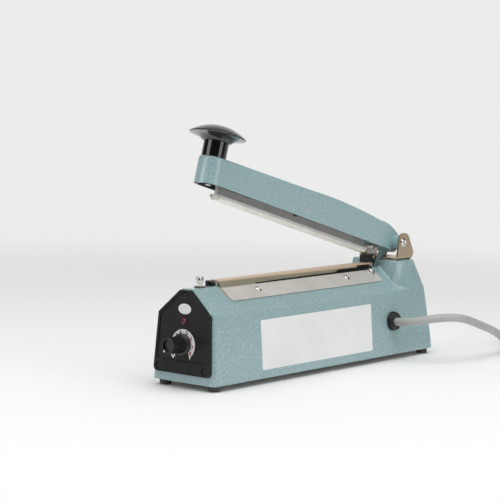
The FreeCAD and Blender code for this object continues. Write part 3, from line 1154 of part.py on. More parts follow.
cap_sketch.addGeometry(Part.Arc(corners[-1], dome_mid, corners[0]), False)
last = len(cap_line) - 1
for index in range(last):
    tie_point(cap_sketch, index, 1, cap_line[index])
    if index:
        cap_sketch.addConstraint(Sketcher.Constraint("Coincident", index - 1, 2, index, 1))
tie_point(cap_sketch, last - 1, 2, cap_line[last])
doc.recompute()
spin = cap.newObject("PartDesign::Revolution", "revolve")
spin.Profile = cap_sketch
spin.ReferenceAxis = (cap_sketch, ["V_Axis"])
spin.Angle = 360
node(place(cap, "arm", "-arm_reach"), "handle_knob")

ring_top = "plunger_guide_low - 0.3"
node(place(turned("knob_plunger", "Z", [
    ("0", "-(plunger_low)"), ("plunger_radius - 0.4", "-(plunger_low)"),
    ("plunger_radius", "-(plunger_low) + 0.4"), ("plunger_radius", ring_top + " - stop_ring_thick"),
    ("stop_ring_radius", ring_top + " - stop_ring_thick"), ("stop_ring_radius", ring_top),
    ("plunger_radius", ring_top), ("plunger_radius", "plunger_set"), ("0", "plunger_set")]),
    "arm", "-arm_reach"), "knob_plunger")


def coil_spring(name, mean_radius, wire_radius, turns, length, hooks=()):
    """A wire helix along Z from 0 to length with a closed coil at both ends; hooks gives the place along
    Z of the middle of a hook's loop at either end, and the loops lie in the YZ plane."""
    spring = doc.addObject("Part::Feature", name)
    helix = Part.makeHelix(length / turns, length, mean_radius)
    section = Part.Wire(Part.makeCircle(wire_radius, Vector(mean_radius, 0, 0), AXIS_Y))
    shape = Part.Wire(helix.Edges).makePipeShell([section], True, True)
    if hooks:
        shape.rotate(Vector(), AXIS_Z, 45)
    ends = [Part.makeTorus(mean_radius, wire_radius, Vector(0, 0, at_z), AXIS_Z) for at_z in (0, length)]
    for at_z, loop_z, way in zip((0, length), hooks, (-1, 1)):
        loop = size("hook_radius")
        stem = abs(loop_z - at_z) - loop + wire_radius / 2
        ends.append(Part.makeCylinder(wire_radius, 2 * mean_radius, Vector(-mean_radius, 0, at_z), AXIS_X))
        ends.append(Part.makeCylinder(wire_radius * 0.9, stem, Vector(0, 0, at_z), Vector(0, 0, way)))
        ends.append(Part.makeTorus(loop, wire_radius, Vector(0, 0, loop_z), AXIS_X))
    spring.Shape = shape.fuse(ends).removeSplitter()
    return spring


knob_spring = coil_spring("knob_spring", size("knob_spring_radius"), size("knob_spring_wire") / 2,
                          size("knob_spring_turns"),
                          size("cap_bore_top - arm_front_top - collar_floor - knob_spring_wire - 0.2"))
node(place(knob_spring, "arm", "-arm_reach", "0",
           "arm_front_top + collar_floor + knob_spring_wire / 2 + 0.1"), "knob_spring")

# Return spring: from the tail's hook hole forwards to an anchor screw under the deck

tilt = math.radians(size("open_angle"))
hook_along, hook_up = -size("tail_end_x"), -size("tail_end - hook_hole_up")
hook = Vector(size("case_x + hinge_x") + hook_along * math.cos(tilt) + hook_up * math.sin(tilt), 0,
              size("hinge_height") - hook_along * math.sin(tilt) + hook_up * math.cos(tilt))
anchor = Vector(size("case_x + anchor_x"), 0, size("anchor_height"))
pull = anchor - hook
hooks = size("spring_tail")
return_spring = coil_spring(
    "return_spring", size("spring_radius"), size("spring_wire") / 2, size("spring_turns"),
    pull.Length - 2 * hooks, (size("hook_radius - spring_wire / 2") - hooks,
                              pull.Length - hooks + size("anchor_radius + spring_wire / 2 + 0.1 - hook_radius")))
along = Vector(pull)
along.normalize()
return_spring.Placement = Placement(hook + along * hooks, Rotation(AXIS_Z, pull))
node(return_spring, "return_spring")
node(place(turned("spring_anchor", "Z", [
    ("0", "-3.4"), ("anchor_radius + 1.4", "-3.4"), ("anchor_radius + 1.4", "-2.2"), ("anchor_radius", "-2.2"),
    ("anchor_radius", "anchor_length - 6"), ("0", "anchor_length - 6")]),
    "case", "anchor_x", "0", "anchor_height"), "spring_anchor")

# Strain relief in the near side: a flanged bush with a faceted head

relief_turned = turned("relief_bush", "Y", [
    ("cord_radius", "2 * wall"), ("relief_neck_radius - 0.1", "2 * wall"),
    ("relief_neck_radius - 0.1", "-0.1"), ("relief_head_radius", "-0.1"),
    ("relief_head_radius", "-relief_flange"), ("cord_radius", "-relief_flange")])
place(relief_turned, "side_near", "relief_x", "0", "relief_up")
relief_head = new_body("relief_head")
facets = new_sketch(relief_head, "XZ", "relief_flange")
polygon(facets, [("relief_facet_radius * cos(%s)" % turn, "relief_facet_radius * sin(%s)" % turn)
                 for turn in (22.5, 67.5, 112.5, 157.5, 202.5, 247.5, 292.5, 337.5)])
circle(facets, ("0", "0"), "cord_radius")
add(relief_head, "Pad", facets, "relief_head_thick - relief_flange")
place(relief_head, "side_near", "relief_x", "0", "relief_up")
node(combine("MultiFuse", "strain_relief", relief_turned, relief_head), "strain_relief")

# Mains lead: a tube of straight runs and tangent arcs from the strain relief down to the coil

CORD_ROUTE = [(0, -21.5, 34.9), (0, -47.5, 34.9), (12.5, -69.5, 41), (35.1, -82.2, 41),
              (61.7, -83.6, 32.8), (93.7, -83.2, 22.6), (113.6, -81, 13.2), (129.1, -74.5, 6.4),
              (139.1, -68.5, 3.9)]


def cord_path(points):
    """Straight runs joined by tangent arcs, each as large as its two runs allow; prints the radii."""
    here = points[0]
    pieces = []
    radii = []
    for before, corner, after in zip(points, points[1:], points[2:]):
        back, ahead = before - corner, after - corner
        set_back = 0.45 * min(back.Length, ahead.Length)
        back.normalize()
        ahead.normalize()
        half_turn = (math.pi - back.getAngle(ahead)) / 2
        radius = set_back / math.tan(half_turn)
        radii.append(round(radius, 1))
        enter, leave = corner + back * set_back, corner + ahead * set_back
        inward = back + ahead
        inward.normalize()
        top = corner + inward * (radius / math.cos(half_turn) - radius)
        pieces.append(Part.LineSegment(here, enter).toShape())
        pieces.append(Part.Arc(enter, top, leave).toShape())
        here = leave
    pieces.append(Part.LineSegment(here, points[-1]).toShape())
    print("cord radii", radii)
    return Part.Wire(pieces)


route = [Vector(x + size("case_x + relief_x"), y, z) for x, y, z in CORD_ROUTE]
path = cord_path(route)
start_ring = Part.makeCircle(size("cord_radius"), route[0], route[1] - route[0])
cord = doc.addObject("Part::Feature", "mains_cord")
cord.Shape = path.makePipeShell([Part.Wire(start_ring)], True, False)
expected = path.Length * math.pi * size("cord_radius") ** 2
print("cord length %.1f, volume ratio %.4f" % (path.Length, cord.Shape.Volume / expected))
node(cord, "mains_cord")

node(place(turned("cord_coil", "Z", [
    ("coil_inner", "0.02"), ("coil_outer", "0.02"), ("coil_outer", "coil_layers * cord_thick"),
    ("coil_inner", "coil_layers * cord_thick")]), "case", "coil_x", "-coil_y", "0"), "cord_coil")

# Plug: moulded body that lies against the coil, with two blades and a ground pin

plug_spot = ("coil_x + plug_along", "-coil_y + coil_outer - cord_radius + plug_aside", "0.02")
plug = new_body("mains_plug")
add(plug, "Pad", polygon(new_sketch(plug, "XY", "plug_height / 2 - cord_radius - 1.2"), [
    ("0", "-cord_radius - 1"), ("plug_grip + 2", "-cord_radius - 2"), ("plug_grip + 2", "cord_radius + 2"),
    ("0", "cord_radius + 1")]), "2 * (cord_radius + 1.2)")
add(plug, "Pad", polygon(new_sketch(plug, "XY"), [
    ("plug_grip", "-plug_width / 2 + 4"), ("plug_grip + 6", "-plug_width / 2"),
    ("plug_length", "-plug_width / 2"), ("plug_length", "plug_width / 2"),
    ("plug_grip + 6", "plug_width / 2"), ("plug_grip", "plug_width / 2 - 4")]), "plug_height")
node(place(plug, "case", *plug_spot), "mains_plug")

blade_z = "plug_height / 2 + blade_rise"
pins = [box("plug_blade", "case",
            (plug_spot[0] + " + plug_length", plug_spot[0] + " + plug_length + blade_length"),
            ("%s + %d * blade_pitch / 2 - blade_thick / 2" % (plug_spot[1], side),
             "%s + %d * blade_pitch / 2 + blade_thick / 2" % (plug_spot[1], side)),
            (blade_z + " - blade_width / 2", blade_z + " + blade_width / 2")) for side in (-1, 1)]
ground_pin = turned("ground_pin", "X", rod_profile("ground_pin_radius", "0", "blade_length + 2"))
pins.append(place(ground_pin, "case", plug_spot[0] + " + plug_length", plug_spot[1],
                  blade_z + " - ground_offset"))
node(combine("Compound", "plug_pins", *pins), "plug_pins")

# Check every object, then write one STEP file for each sub-part

doc.recompute()
for thing in doc.Objects:
    if "Invalid" in thing.State or "Error" in thing.State:
        print("not built:", thing.Name, thing.Label, thing.State)
os.makedirs("parts", exist_ok=True)
for name, thing in nodes.items():
    shape = thing.Shape
    if shape.isNull() or not shape.isValid() or not shape.Solids:
        print("bad shape:", name)
        continue
    box_now = shape.BoundBox
    print("%-20s solids %2d  x %7.1f %7.1f  y %6.1f %6.1f  z %6.1f %6.1f" % (
        name, len(shape.Solids), box_now.XMin, box_now.XMax, box_now.YMin, box_now.YMax,
        box_now.ZMin, box_now.ZMax))
    shape.exportStep("parts/%s.step" % name)
print(len(nodes), "nodes")
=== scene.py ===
"""A table-top hand impulse sealer for 200 mm seals, standing open with its arm sprung up.

Every piece is drawn in millimetres in the frame of what carries it (the case, its leaning face, its
sloping shoulders, its drafted side or the arm) and is then put in place in metres.
"""

import json
import math

import bmesh
import bpy
from mathutils import Matrix, Vector

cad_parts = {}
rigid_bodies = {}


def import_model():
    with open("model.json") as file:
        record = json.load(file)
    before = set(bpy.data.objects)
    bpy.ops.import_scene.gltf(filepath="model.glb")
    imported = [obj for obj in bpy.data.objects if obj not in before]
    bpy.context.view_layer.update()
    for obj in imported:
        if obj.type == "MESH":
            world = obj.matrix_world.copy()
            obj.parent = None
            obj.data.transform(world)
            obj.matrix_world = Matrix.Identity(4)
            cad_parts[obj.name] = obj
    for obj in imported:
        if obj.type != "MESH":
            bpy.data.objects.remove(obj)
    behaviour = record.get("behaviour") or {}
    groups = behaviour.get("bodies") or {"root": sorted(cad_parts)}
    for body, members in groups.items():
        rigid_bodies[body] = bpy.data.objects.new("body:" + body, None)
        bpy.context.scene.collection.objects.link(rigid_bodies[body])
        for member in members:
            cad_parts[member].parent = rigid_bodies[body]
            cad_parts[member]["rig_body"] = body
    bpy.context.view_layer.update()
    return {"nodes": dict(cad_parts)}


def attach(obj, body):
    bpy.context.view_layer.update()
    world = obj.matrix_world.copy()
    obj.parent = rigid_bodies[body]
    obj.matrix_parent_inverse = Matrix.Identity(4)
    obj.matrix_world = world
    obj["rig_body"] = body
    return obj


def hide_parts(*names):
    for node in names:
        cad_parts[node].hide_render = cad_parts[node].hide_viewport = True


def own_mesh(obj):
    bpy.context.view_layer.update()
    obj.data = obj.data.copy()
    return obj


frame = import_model()


# Camera
# The photograph is taken from the control end, a little above the arm, with a long lens.

camera_data = bpy.data.cameras.new("view_of_the_sealer")
camera_data.sensor_width = 36
camera_data.lens = 141.6
camera_data.clip_start = 0.05
camera_data.clip_end = 60
camera = bpy.data.objects.new("view_of_the_sealer", camera_data)
bpy.context.scene.collection.objects.link(camera)
CAMERA_PLACE = (-1.36078, -1.0331, 0.2794)
CAMERA_HEADING, CAMERA_DIP, CAMERA_ROLL = 38.588, 5.881, 1.415
camera.matrix_world = (
    Matrix.Translation(CAMERA_PLACE)
    @ Matrix.Rotation(math.radians(CAMERA_HEADING - 90), 4, "Z")
    @ Matrix.Rotation(math.radians(90 - CAMERA_DIP), 4, "X")
    @ Matrix.Rotation(math.radians(CAMERA_ROLL), 4, "Z")
)
bpy.context.scene.camera = camera
bpy.context.scene.view_settings.view_transform = "Standard"


# Table, backdrop and lights
# A sheet of pale paper that runs away into the backdrop, a large soft light overhead and a tall soft
# box on each side of the camera.

BACKDROP = (0.84, 0.84, 0.835)


def new_finish(name, colour, roughness, metallic=0.0, **even_values):
    """A finish whose even values sit on the shader's own sockets."""
    finish = bpy.data.materials.new(name)
    finish.use_nodes = True
    shader = finish.node_tree.nodes["Principled BSDF"]
    shader.inputs["Base Color"].default_value = (*colour, 1)
    shader.inputs["Roughness"].default_value = roughness
    shader.inputs["Metallic"].default_value = metallic
    for socket, value in even_values.items():
        shader.inputs[socket.replace("_", " ")].default_value = value
    finish.diffuse_color = (*colour, 1)
    return finish


def add_node(owner, kind, **inputs):
    """A node of that kind in a finish or the world, its inputs given as values or as sockets to link."""
    tree = owner.node_tree
    node = tree.nodes.new("ShaderNode" + kind)
    for name, value in inputs.items():
        socket = node.inputs[int(name[1:]) if name[0] == "_" else name.replace("_", " ")]
        if isinstance(value, bpy.types.NodeSocket):
            tree.links.new(value, socket)
        else:
            socket.default_value = value
    return node


paper = new_finish("backdrop_paper", (0.92, 0.92, 0.915), 0.9)
paper_spots = add_node(paper, "TexCoord")
paper_reach = add_node(paper, "VectorMath", _0=paper_spots.outputs["Object"])
paper_reach.operation = "LENGTH"
FADE_FROM, FADE_TO = 0.42, 1.25
paper_fade = add_node(paper, "MapRange", Value=paper_reach.outputs["Value"], From_Min=FADE_FROM,
                      From_Max=FADE_TO)
paper_fade.interpolation_type = "SMOOTHSTEP"
paper_rays = add_node(paper, "LightPath")
paper_share = add_node(paper, "Math", _0=paper_fade.outputs["Result"],
                       _1=paper_rays.outputs["Is Camera Ray"])
paper_share.operation = "MULTIPLY"
paper_glow = add_node(paper, "Emission", Color=(*BACKDROP, 1), Strength=1.0)
paper_mix = add_node(paper, "MixShader", _0=paper_share.outputs["Value"],
                     _1=paper.node_tree.nodes["Principled BSDF"].outputs["BSDF"],
                     _2=paper_glow.outputs["Emission"])
paper.node_tree.links.new(paper_mix.outputs["Shader"],
                          paper.node_tree.nodes["Material Output"].inputs["Surface"])

table_mesh = bpy.data.meshes.new("paper_on_the_table")
bm = bmesh.new()
bmesh.ops.create_grid(bm, x_segments=4, y_segments=4, size=9)
bm.to_mesh(table_mesh)
bm.free()
table = bpy.data.objects.new("paper_on_the_table", table_mesh)
bpy.context.scene.collection.objects.link(table)
table_mesh.materials.append(paper)

world = bpy.data.worlds.new("studio")
bpy.context.scene.world = world
world.use_nodes = True
room_way = add_node(world, "TexCoord").outputs["Generated"]
room_rays = add_node(world, "LightPath").outputs


def room_side(towards, low, high, dark, bright):
    """The room's brightness, which rises smoothly from dark to bright towards one side."""
    facing = add_node(world, "VectorMath", _0=room_way, _1=towards)
    facing.operation = "DOT_PRODUCT"
    rise = add_node(world, "MapRange", Value=facing.outputs["Value"], From_Min=low, From_Max=high,
                    To_Min=dark, To_Max=bright)
    rise.interpolation_type = "SMOOTHSTEP"
    return rise.outputs["Result"]


# What lights the sealer, and what its metal and gloss mirror: a dark room with the pale backdrop behind
room_light = room_side((0.72, 0.58, 0.38), -0.15, 0.85, 0.10, 0.72)
room_image = room_side((0.78, 0.62, -0.08), 0.30, 0.97, 0.06, 0.95)
room_mirrored = add_node(world, "Math", _0=room_rays["Is Glossy Ray"], _1=room_rays["Is Transmission Ray"])
room_mirrored.operation = "ADD"
room_mirrored.use_clamp = True
room_mixed = add_node(world, "Mix", _0=room_mirrored.outputs[0], _2=room_light, _3=room_image)
room_strength = add_node(world, "Mix", _0=room_rays["Is Camera Ray"], _2=room_mixed.outputs[0], _3=1.0)
background = world.node_tree.nodes["Background"]
background.inputs["Color"].default_value = (*BACKDROP, 1)
world.node_tree.links.new(room_strength.outputs[0], background.inputs["Strength"])


def soft_box(name, place, aim, width, height, power):
    """An area light at a place that faces the aim."""
    lamp = bpy.data.lights.new(name, "AREA")
    lamp.shape = "RECTANGLE"
    lamp.size, lamp.size_y = width, height
    lamp.energy = power
    holder = bpy.data.objects.new(name, lamp)
    bpy.context.scene.collection.objects.link(holder)
    holder.location = place
    holder.rotation_mode = "QUATERNION"
    holder.rotation_quaternion = (Vector(aim) - Vector(place)).to_track_quat("-Z", "Y")


soft_box("overhead_box", (-0.25, -0.35, 1.7), (0, 0, 0.08), 1.7, 1.7, 22)
soft_box("left_box", (-1.45, 0.56, 0.85), (-0.05, 0, 0.12), 0.85, 1.3, 7.4)
soft_box("right_box", (0.08, -1.62, 0.75), (0, 0, 0.10), 0.85, 1.3, 6.6)


# Mains lead
# A round three-core lead in a warm grey jacket. It leaves the near side straight, rises over a low
# hump, comes down to the table and is wound into a tied coil, with a moulded plug on its end.

CASE_X = 10.117
LEAD_EXIT = 94.3
LEAD_ROUTE = [(0, -21.5, 34.9), (0, -47.5, 34.9), (12.5, -69.5, 41), (35.1, -82.2, 41),
              (61.7, -83.6, 32.8), (93.7, -83.2, 22.6), (113.6, -81, 13.2), (129.1, -74.5, 6.4),
              (139.1, -68.5, 3.9)]
LEAD_RADIUS = 3.75
COIL_MIDDLE = (266.9, -105)
COIL_OUTER = 45.75
COIL_POINTS = 16

lead_points = [(x + LEAD_EXIT, y, z) for x, y, z in LEAD_ROUTE]
coil_step = 360 / COIL_POINTS
for number in range(4 * COIL_POINTS - 1):
    turned_by = (number + 0.5) * coil_step
    inwards = turned_by if turned_by < 720 else 1440 - turned_by
    coil_radius = (COIL_OUTER - 2 * LEAD_RADIUS * inwards / 360) / math.cos(math.radians(coil_step / 2))
    rise = min(max((turned_by - 675) / 90, 0), 1)
    coil_height = LEAD_RADIUS + 2 * LEAD_RADIUS * rise * rise * (3 - 2 * rise)
    swing = math.radians(turned_by - 20)
    lead_points.append((COIL_MIDDLE[0] + coil_radius * math.sin(swing),
                        COIL_MIDDLE[1] + coil_radius * math.cos(swing), coil_height))
lead_points += [(248.5, -60, 11.4), (262, -53.6, 11.9), (276, -52.25, 12.4), (294, -52.25, 12.5)]

lead_curve = bpy.data.curves.new("mains_lead", "CURVE")
lead_curve.dimensions = "3D"
lead_curve.bevel_depth = LEAD_RADIUS / 1000
lead_curve.bevel_resolution = 6
lead_curve.resolution_u = 8
lead_curve.use_fill_caps = True
lead_spline = lead_curve.splines.new("NURBS")
lead_spline.points.add(len(lead_points) - 1)
for spot, (x, y, z) in zip(lead_spline.points, lead_points):
    spot.co = ((x + CASE_X) / 1000, y / 1000, z / 1000, 1)
lead_spline.use_endpoint_u = True
lead_spline.order_u = 3
lead = bpy.data.objects.new("mains_lead", lead_curve)
bpy.context.scene.collection.objects.link(lead)


def on_case(x, y, z):
    """A place in the case's frame, given in millimetres."""
    return Matrix.Translation(((x + CASE_X) / 1000, y / 1000, z / 1000))


def grain(finish, kind, scale, stretch=(1, 1, 1), **inputs):
    """A texture node of that kind on the piece's own Object coordinates, stretched along X, Y or Z."""
    spots = add_node(finish, "TexCoord")
    stretched = add_node(finish, "Mapping", Vector=spots.outputs["Object"], Scale=stretch)
    return add_node(finish, "Tex" + kind, Vector=stretched.outputs["Vector"], Scale=scale, **inputs)


def tint(finish, factor, dark, light, low=0.0, high=1.0):
    """Colour the finish between two colours by a factor."""
    spread = add_node(finish, "MapRange", Value=factor, From_Min=low, From_Max=high)
    mixed = add_node(finish, "Mix", _0=spread.outputs["Result"])
    mixed.data_type = "RGBA"
    colours = [socket for socket in mixed.inputs if socket.type == "RGBA"]
    for socket, colour in zip(colours, (dark, light)):
        if isinstance(colour, bpy.types.NodeSocket):
            finish.node_tree.links.new(colour, socket)
        else:
            socket.default_value = (*colour, 1)
    result = next(socket for socket in mixed.outputs if socket.type == "RGBA")
    finish.node_tree.links.new(result, finish.node_tree.nodes["Principled BSDF"].inputs["Base Color"])


def mottle(finish, scale, dark, light, low=0.3, high=0.7, detail=3.0):
    """Cloud the finish between two colours with noise of that scale, and return the noise."""
    noise = grain(finish, "Noise", scale, Detail=detail).outputs["Fac"]
    tint(finish, noise, dark, light, low, high)
    return noise


def roughen(finish, factor, low, high):
    """Vary the roughness of the finish by a factor."""
    spread = add_node(finish, "MapRange", Value=factor, To_Min=low, To_Max=high)
    finish.node_tree.links.new(spread.outputs["Result"],
                               finish.node_tree.nodes["Principled BSDF"].inputs["Roughness"])


def emboss(finish, height, strength, depth):
    """Raise and sink the surface of the finish by a height, on top of what is embossed already."""
    normal = finish.node_tree.nodes["Principled BSDF"].inputs["Normal"]
    bump = add_node(finish, "Bump", Height=height, Strength=strength, Distance=depth / 1000)
    if normal.is_linked:
        finish.node_tree.links.new(normal.links[0].from_socket, bump.inputs["Normal"])
    finish.node_tree.links.new(bump.outputs["Normal"], normal)


def fine_grain(finish, scale, strength, depth):
    """Emboss the finish with fine even noise."""
    emboss(finish, grain(finish, "Noise", scale, Detail=2.0).outputs["Fac"], strength, depth)


jacket = new_finish("lead_jacket", (0.455, 0.455, 0.445), 0.42, Specular_IOR_Level=0.4)
jacket_cloud = mottle(jacket, 60, (0.42, 0.42, 0.41), (0.49, 0.49, 0.48), 0.35, 0.65)
fine_grain(jacket, 1800, 0.12, 0.05)
roughen(jacket, jacket_cloud, 0.36, 0.50)
lead_curve.materials.append(jacket)


def settle(bm, name, finish, place=Matrix(), body="case", instead_of=(), crease=32,
           tidy=2e-3):
    """Turn a bmesh drawn in millimetres into a piece: doubles merged, faces outwards, smooth between
    creases, put in place in metres, with its finish, the body that carries it and what it stands for."""
    bmesh.ops.remove_doubles(bm, verts=bm.verts, dist=tidy)
    bmesh.ops.recalc_face_normals(bm, faces=bm.faces)
    bmesh.ops.transform(bm, matrix=place @ Matrix.Scale(0.001, 4), verts=bm.verts)
    mesh = bpy.data.meshes.new(name)
    bm.to_mesh(mesh)
    bm.free()
    mesh.shade_smooth()
    mesh.set_sharp_from_angle(angle=math.radians(crease))
    mesh.materials.append(finish)
    piece = bpy.data.objects.new(name, mesh)
    bpy.context.scene.collection.objects.link(piece)
    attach(piece, body)
    if instead_of:
        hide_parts(*instead_of)
    return piece


def soften(bm, edges, width, steps=2):
    """Round the given edges."""
    bmesh.ops.bevel(bm, geom=list(edges), offset=width, offset_type="OFFSET", segments=steps, profile=0.5,
                    affect="EDGES", clamp_overlap=True, material=-1)


def sharp_edges(bm, angle=30):
    """The edges of a bmesh whose faces meet at more than an angle."""
    return [e for e in bm.edges if e.is_manifold and e.calc_face_angle(0) > math.radians(angle)]


def edges_along(bm, axis, least=1):
    """The edges of a bmesh that run along an axis: 0 for X, 1 for Y, 2 for Z."""
    return [e for e in bm.edges if abs(e.verts[0].co[axis] - e.verts[1].co[axis]) > least]


def add_to(bm, other):
    """Put another bmesh into bm."""
    carrier = bpy.data.meshes.new("carrier")
    other.to_mesh(carrier)
    other.free()
    bm.from_mesh(carrier)
    bpy.data.meshes.remove(carrier)


def block(low, high):
    """A bmesh of a plain block between two corners, to be shaped further."""
    bm = bmesh.new()
    bmesh.ops.create_cube(bm, size=1)
    middle = [(a + b) / 2 for a, b in zip(low, high)]
    spread = [b - a for a, b in zip(low, high)]
    bmesh.ops.scale(bm, vec=spread, verts=bm.verts)
    bmesh.ops.translate(bm, vec=middle, verts=bm.verts)
    return bm


def turn(profile, steps=48, axis="Z"):
    """A bmesh turned about Z or X from pairs of radius and place along it."""
    bm = bmesh.new()
    line = [bm.verts.new((radius, 0, along)) for radius, along in profile]
    edges = [bm.edges.new(pair) for pair in zip(line, line[1:])]
    bmesh.ops.spin(bm, geom=line + edges, cent=(0, 0, 0), axis=(0, 0, 1), angle=math.tau,
                   steps=steps, use_merge=True, use_duplicate=False)
    bmesh.ops.remove_doubles(bm, verts=bm.verts, dist=1e-4)
    if axis == "X":
        bmesh.ops.rotate(bm, cent=(0, 0, 0), matrix=Matrix.Rotation(math.radians(90), 3, "Y"),
                         verts=bm.verts)
    return bm


# The plug: a moulded body with a finger waist and a ribbed tail, drawn with its pins along +X.
PLUG_SPOT = on_case(273.9, -52.25, 0)
PLUG_START, PLUG_END, PLUG_HALF = 20.5, 50, 12.4
bm = block((PLUG_START, -PLUG_HALF, 0.3), (PLUG_END, PLUG_HALF, 24.9))
soften(bm, edges_along(bm, 0), 5, 4)
bmesh.ops.subdivide_edges(bm, edges=edges_along(bm, 0, 25), cuts=8, use_grid_fill=True)
for vert in bm.verts:
    share = (vert.co.x - PLUG_START) / (PLUG_END - PLUG_START)
    narrow = max(0, 1 - share / 0.45) ** 2
    vert.co.y *= 1 - 0.30 * narrow - 0.07 * math.exp(-((share - 0.62) / 0.16) ** 2)
    vert.co.z = 12.6 + (vert.co.z - 12.6) * (1 - 0.34 * narrow)
soften(bm, sharp_edges(bm, 50), 1.2, 3)
RIB_STEP = 4.2
plug_tail = [(0, 0), (3.8, 0)]
for rib in range(5):
    outer, start = 4.9 + 0.22 * rib, RIB_STEP * rib
    plug_tail += [(outer - 0.5, start + 0.3), (outer, start + 0.8), (outer, start + 3.1),
                  (outer - 0.5, start + 3.6), (outer - 1.1, start + 3.9)]
tail = turn(plug_tail + [(4.6, 21.4), (0, 21.4)], 32, "X")
bmesh.ops.translate(tail, vec=(0, 0, 12.5), verts=tail.verts)
add_to(bm, tail)
plug = settle(bm, "moulded_plug", jacket, PLUG_SPOT, "case", ["mains_plug"])


def scratched_metal(name, colour, roughness, stretch=(1, 1, 1), marks=0.5):
    """A plated or drawn metal with fine marks along one way and slight clouding."""
    metal = new_finish(name, colour, roughness, metallic=1.0)
    mottle(metal, 35, [value * 0.90 for value in colour], [min(1.0, value * 1.06) for value in colour])
    lines = grain(metal, "Noise", 900, stretch, Detail=3.0).outputs["Fac"]
    roughen(metal, lines, roughness * 0.75, roughness * 1.3)
    emboss(metal, lines, 0.08 * marks, 0.03)
    return metal


def dress(node, finish, name, width=0.0, chosen=None, steps=2, crease=32, angle=28):
    """The solid's own shape as a clean piece: its loose triangles joined, flat faces made whole, the
    chosen sharp edges rounded, smooth between creases. It stands for the solid, on the same body."""
    bm = bmesh.new()
    bm.from_mesh(frame["nodes"][node].data)
    bmesh.ops.scale(bm, vec=(1000, 1000, 1000), verts=bm.verts)
    bmesh.ops.remove_doubles(bm, verts=bm.verts, dist=3e-3)
    bmesh.ops.dissolve_limit(bm, angle_limit=math.radians(0.5), verts=bm.verts, edges=bm.edges)
    if width:
        edges = [e for e in sharp_edges(bm, angle) if chosen is None or chosen(e)]
        soften(bm, edges, width, steps)
    mesh = bpy.data.meshes.new(name)
    bmesh.ops.triangulate(bm, faces=[f for f in bm.faces if len(f.verts) > 4])
    bmesh.ops.scale(bm, vec=(0.001, 0.001, 0.001), verts=bm.verts)
    bm.to_mesh(mesh)
    bm.free()
    mesh.shade_smooth()
    mesh.set_sharp_from_angle(angle=math.radians(crease))
    mesh.materials.append(finish)
    piece = bpy.data.objects.new(name, mesh)
    bpy.context.scene.collection.objects.link(piece)
    weigh = piece.modifiers.new("flat_faces_stay_flat", "WEIGHTED_NORMAL")
    weigh.keep_sharp = True
    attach(piece, frame["nodes"][node]["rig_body"])
    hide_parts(node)
    return piece


pin_brass = scratched_metal("plug_pin_brass", (0.72, 0.58, 0.33), 0.28, (0.1, 1, 1))
pins = dress("plug_pins", pin_brass, "plug_blades", 0.35)

# The tie round the coil: a woven strap, closed on the outside of the turns.
strap_weave = new_finish("strap_weave", (0.035, 0.035, 0.037), 0.75, Sheen_Weight=0.3)
emboss(strap_weave, grain(strap_weave, "Wave", 900).outputs["Fac"], 0.5, 0.15)
bm = block((-4, -51.4, 0.0), (4, -25.2, 16.2))
bmesh.ops.delete(bm, geom=[f for f in bm.faces if abs(f.normal.x) > 0.9], context="FACES")
soften(bm, edges_along(bm, 0), 4.4, 6)
bmesh.ops.solidify(bm, geom=bm.faces[:], thickness=0.6)
strap = settle(bm, "coil_tie", strap_weave, on_case(*COIL_MIDDLE, 0), tidy=1e-3)

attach(lead, "case")
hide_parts("mains_cord", "cord_coil")


# Case
# A die-cast shell with a hinge block at its rear, stoved in a hammered grey-green enamel: fine
# dimples with paler rims, a soft gloss, and every arris rounded by the paint.

enamel = new_finish("hammered_enamel", (0.34, 0.455, 0.455), 0.34, Specular_IOR_Level=0.6, Coat_Weight=0.7,
                    Coat_Roughness=0.14, Coat_IOR=1.6)
enamel_cells = grain(enamel, "Voronoi", 960)
enamel_cells.feature = "SMOOTH_F1"
enamel_cells.inputs["Smoothness"].default_value = 0.35
enamel_ripple = grain(enamel, "Noise", 680, Detail=3.0)
enamel_cloud = grain(enamel, "Noise", 16, Detail=2.0)
enamel_fleck = add_node(enamel, "Math", _0=enamel_cells.outputs["Distance"],
                        _1=enamel_ripple.outputs["Fac"])
enamel_fleck.operation = "MULTIPLY"
tint(enamel, enamel_fleck.outputs["Value"], (0.235, 0.380, 0.395), (0.385, 0.535, 0.555), 0.12, 0.42)
emboss(enamel, enamel_cells.outputs["Distance"], 0.32, 0.35)
emboss(enamel, enamel_ripple.outputs["Fac"], 0.22, 0.4)
roughen(enamel, enamel_cloud.outputs["Fac"], 0.30, 0.44)


HALF_WIDTH = 33.5


def case_arris(edge):
    """The long outer edges of the casting that the paint rounds: shoulders, foot rim and front face."""
    a, b = (vert.co for vert in edge.verts)
    middle = (a + b) / 2
    if (a - b).length < 3:
        return False
    shoulder = abs(abs(middle.y) - 29) < 0.6 and abs(middle.z - 61.5) < 0.6
    foot = middle.z < 12.5 and (abs(abs(middle.y) - HALF_WIDTH) < 0.4 or middle.x < -149 or middle.x > 168)
    face = middle.x < -144 and abs(a.x - b.x) < 6 and middle.z > 13
    return shoulder or foot or face


dress("housing", enamel, "case_casting", 1.4, case_arris, 4, 40, 18)


# Instruction film
# A thin white vinyl film with rounded corners on the near side. It is left bare.

SIDE_NEAR = on_case(0, -HALF_WIDTH, 12) @ Matrix.Rotation(math.radians(-5.19), 4, "X")

vinyl = new_finish("white_vinyl", (0.88, 0.885, 0.88), 0.34, Specular_IOR_Level=0.45)
vinyl_cloud = mottle(vinyl, 22, (0.85, 0.86, 0.855), (0.91, 0.915, 0.91), 0.35, 0.65, 2.0)
fine_grain(vinyl, 300, 0.06, 0.05)
roughen(vinyl, vinyl_cloud, 0.30, 0.42)

bm = block((-97, -0.13, 0.2), (61.6, 0.05, 42.0))
soften(bm, edges_along(bm, 1, 0.1), 1.6, 5)
settle(bm, "instruction_film", vinyl, SIDE_NEAR)


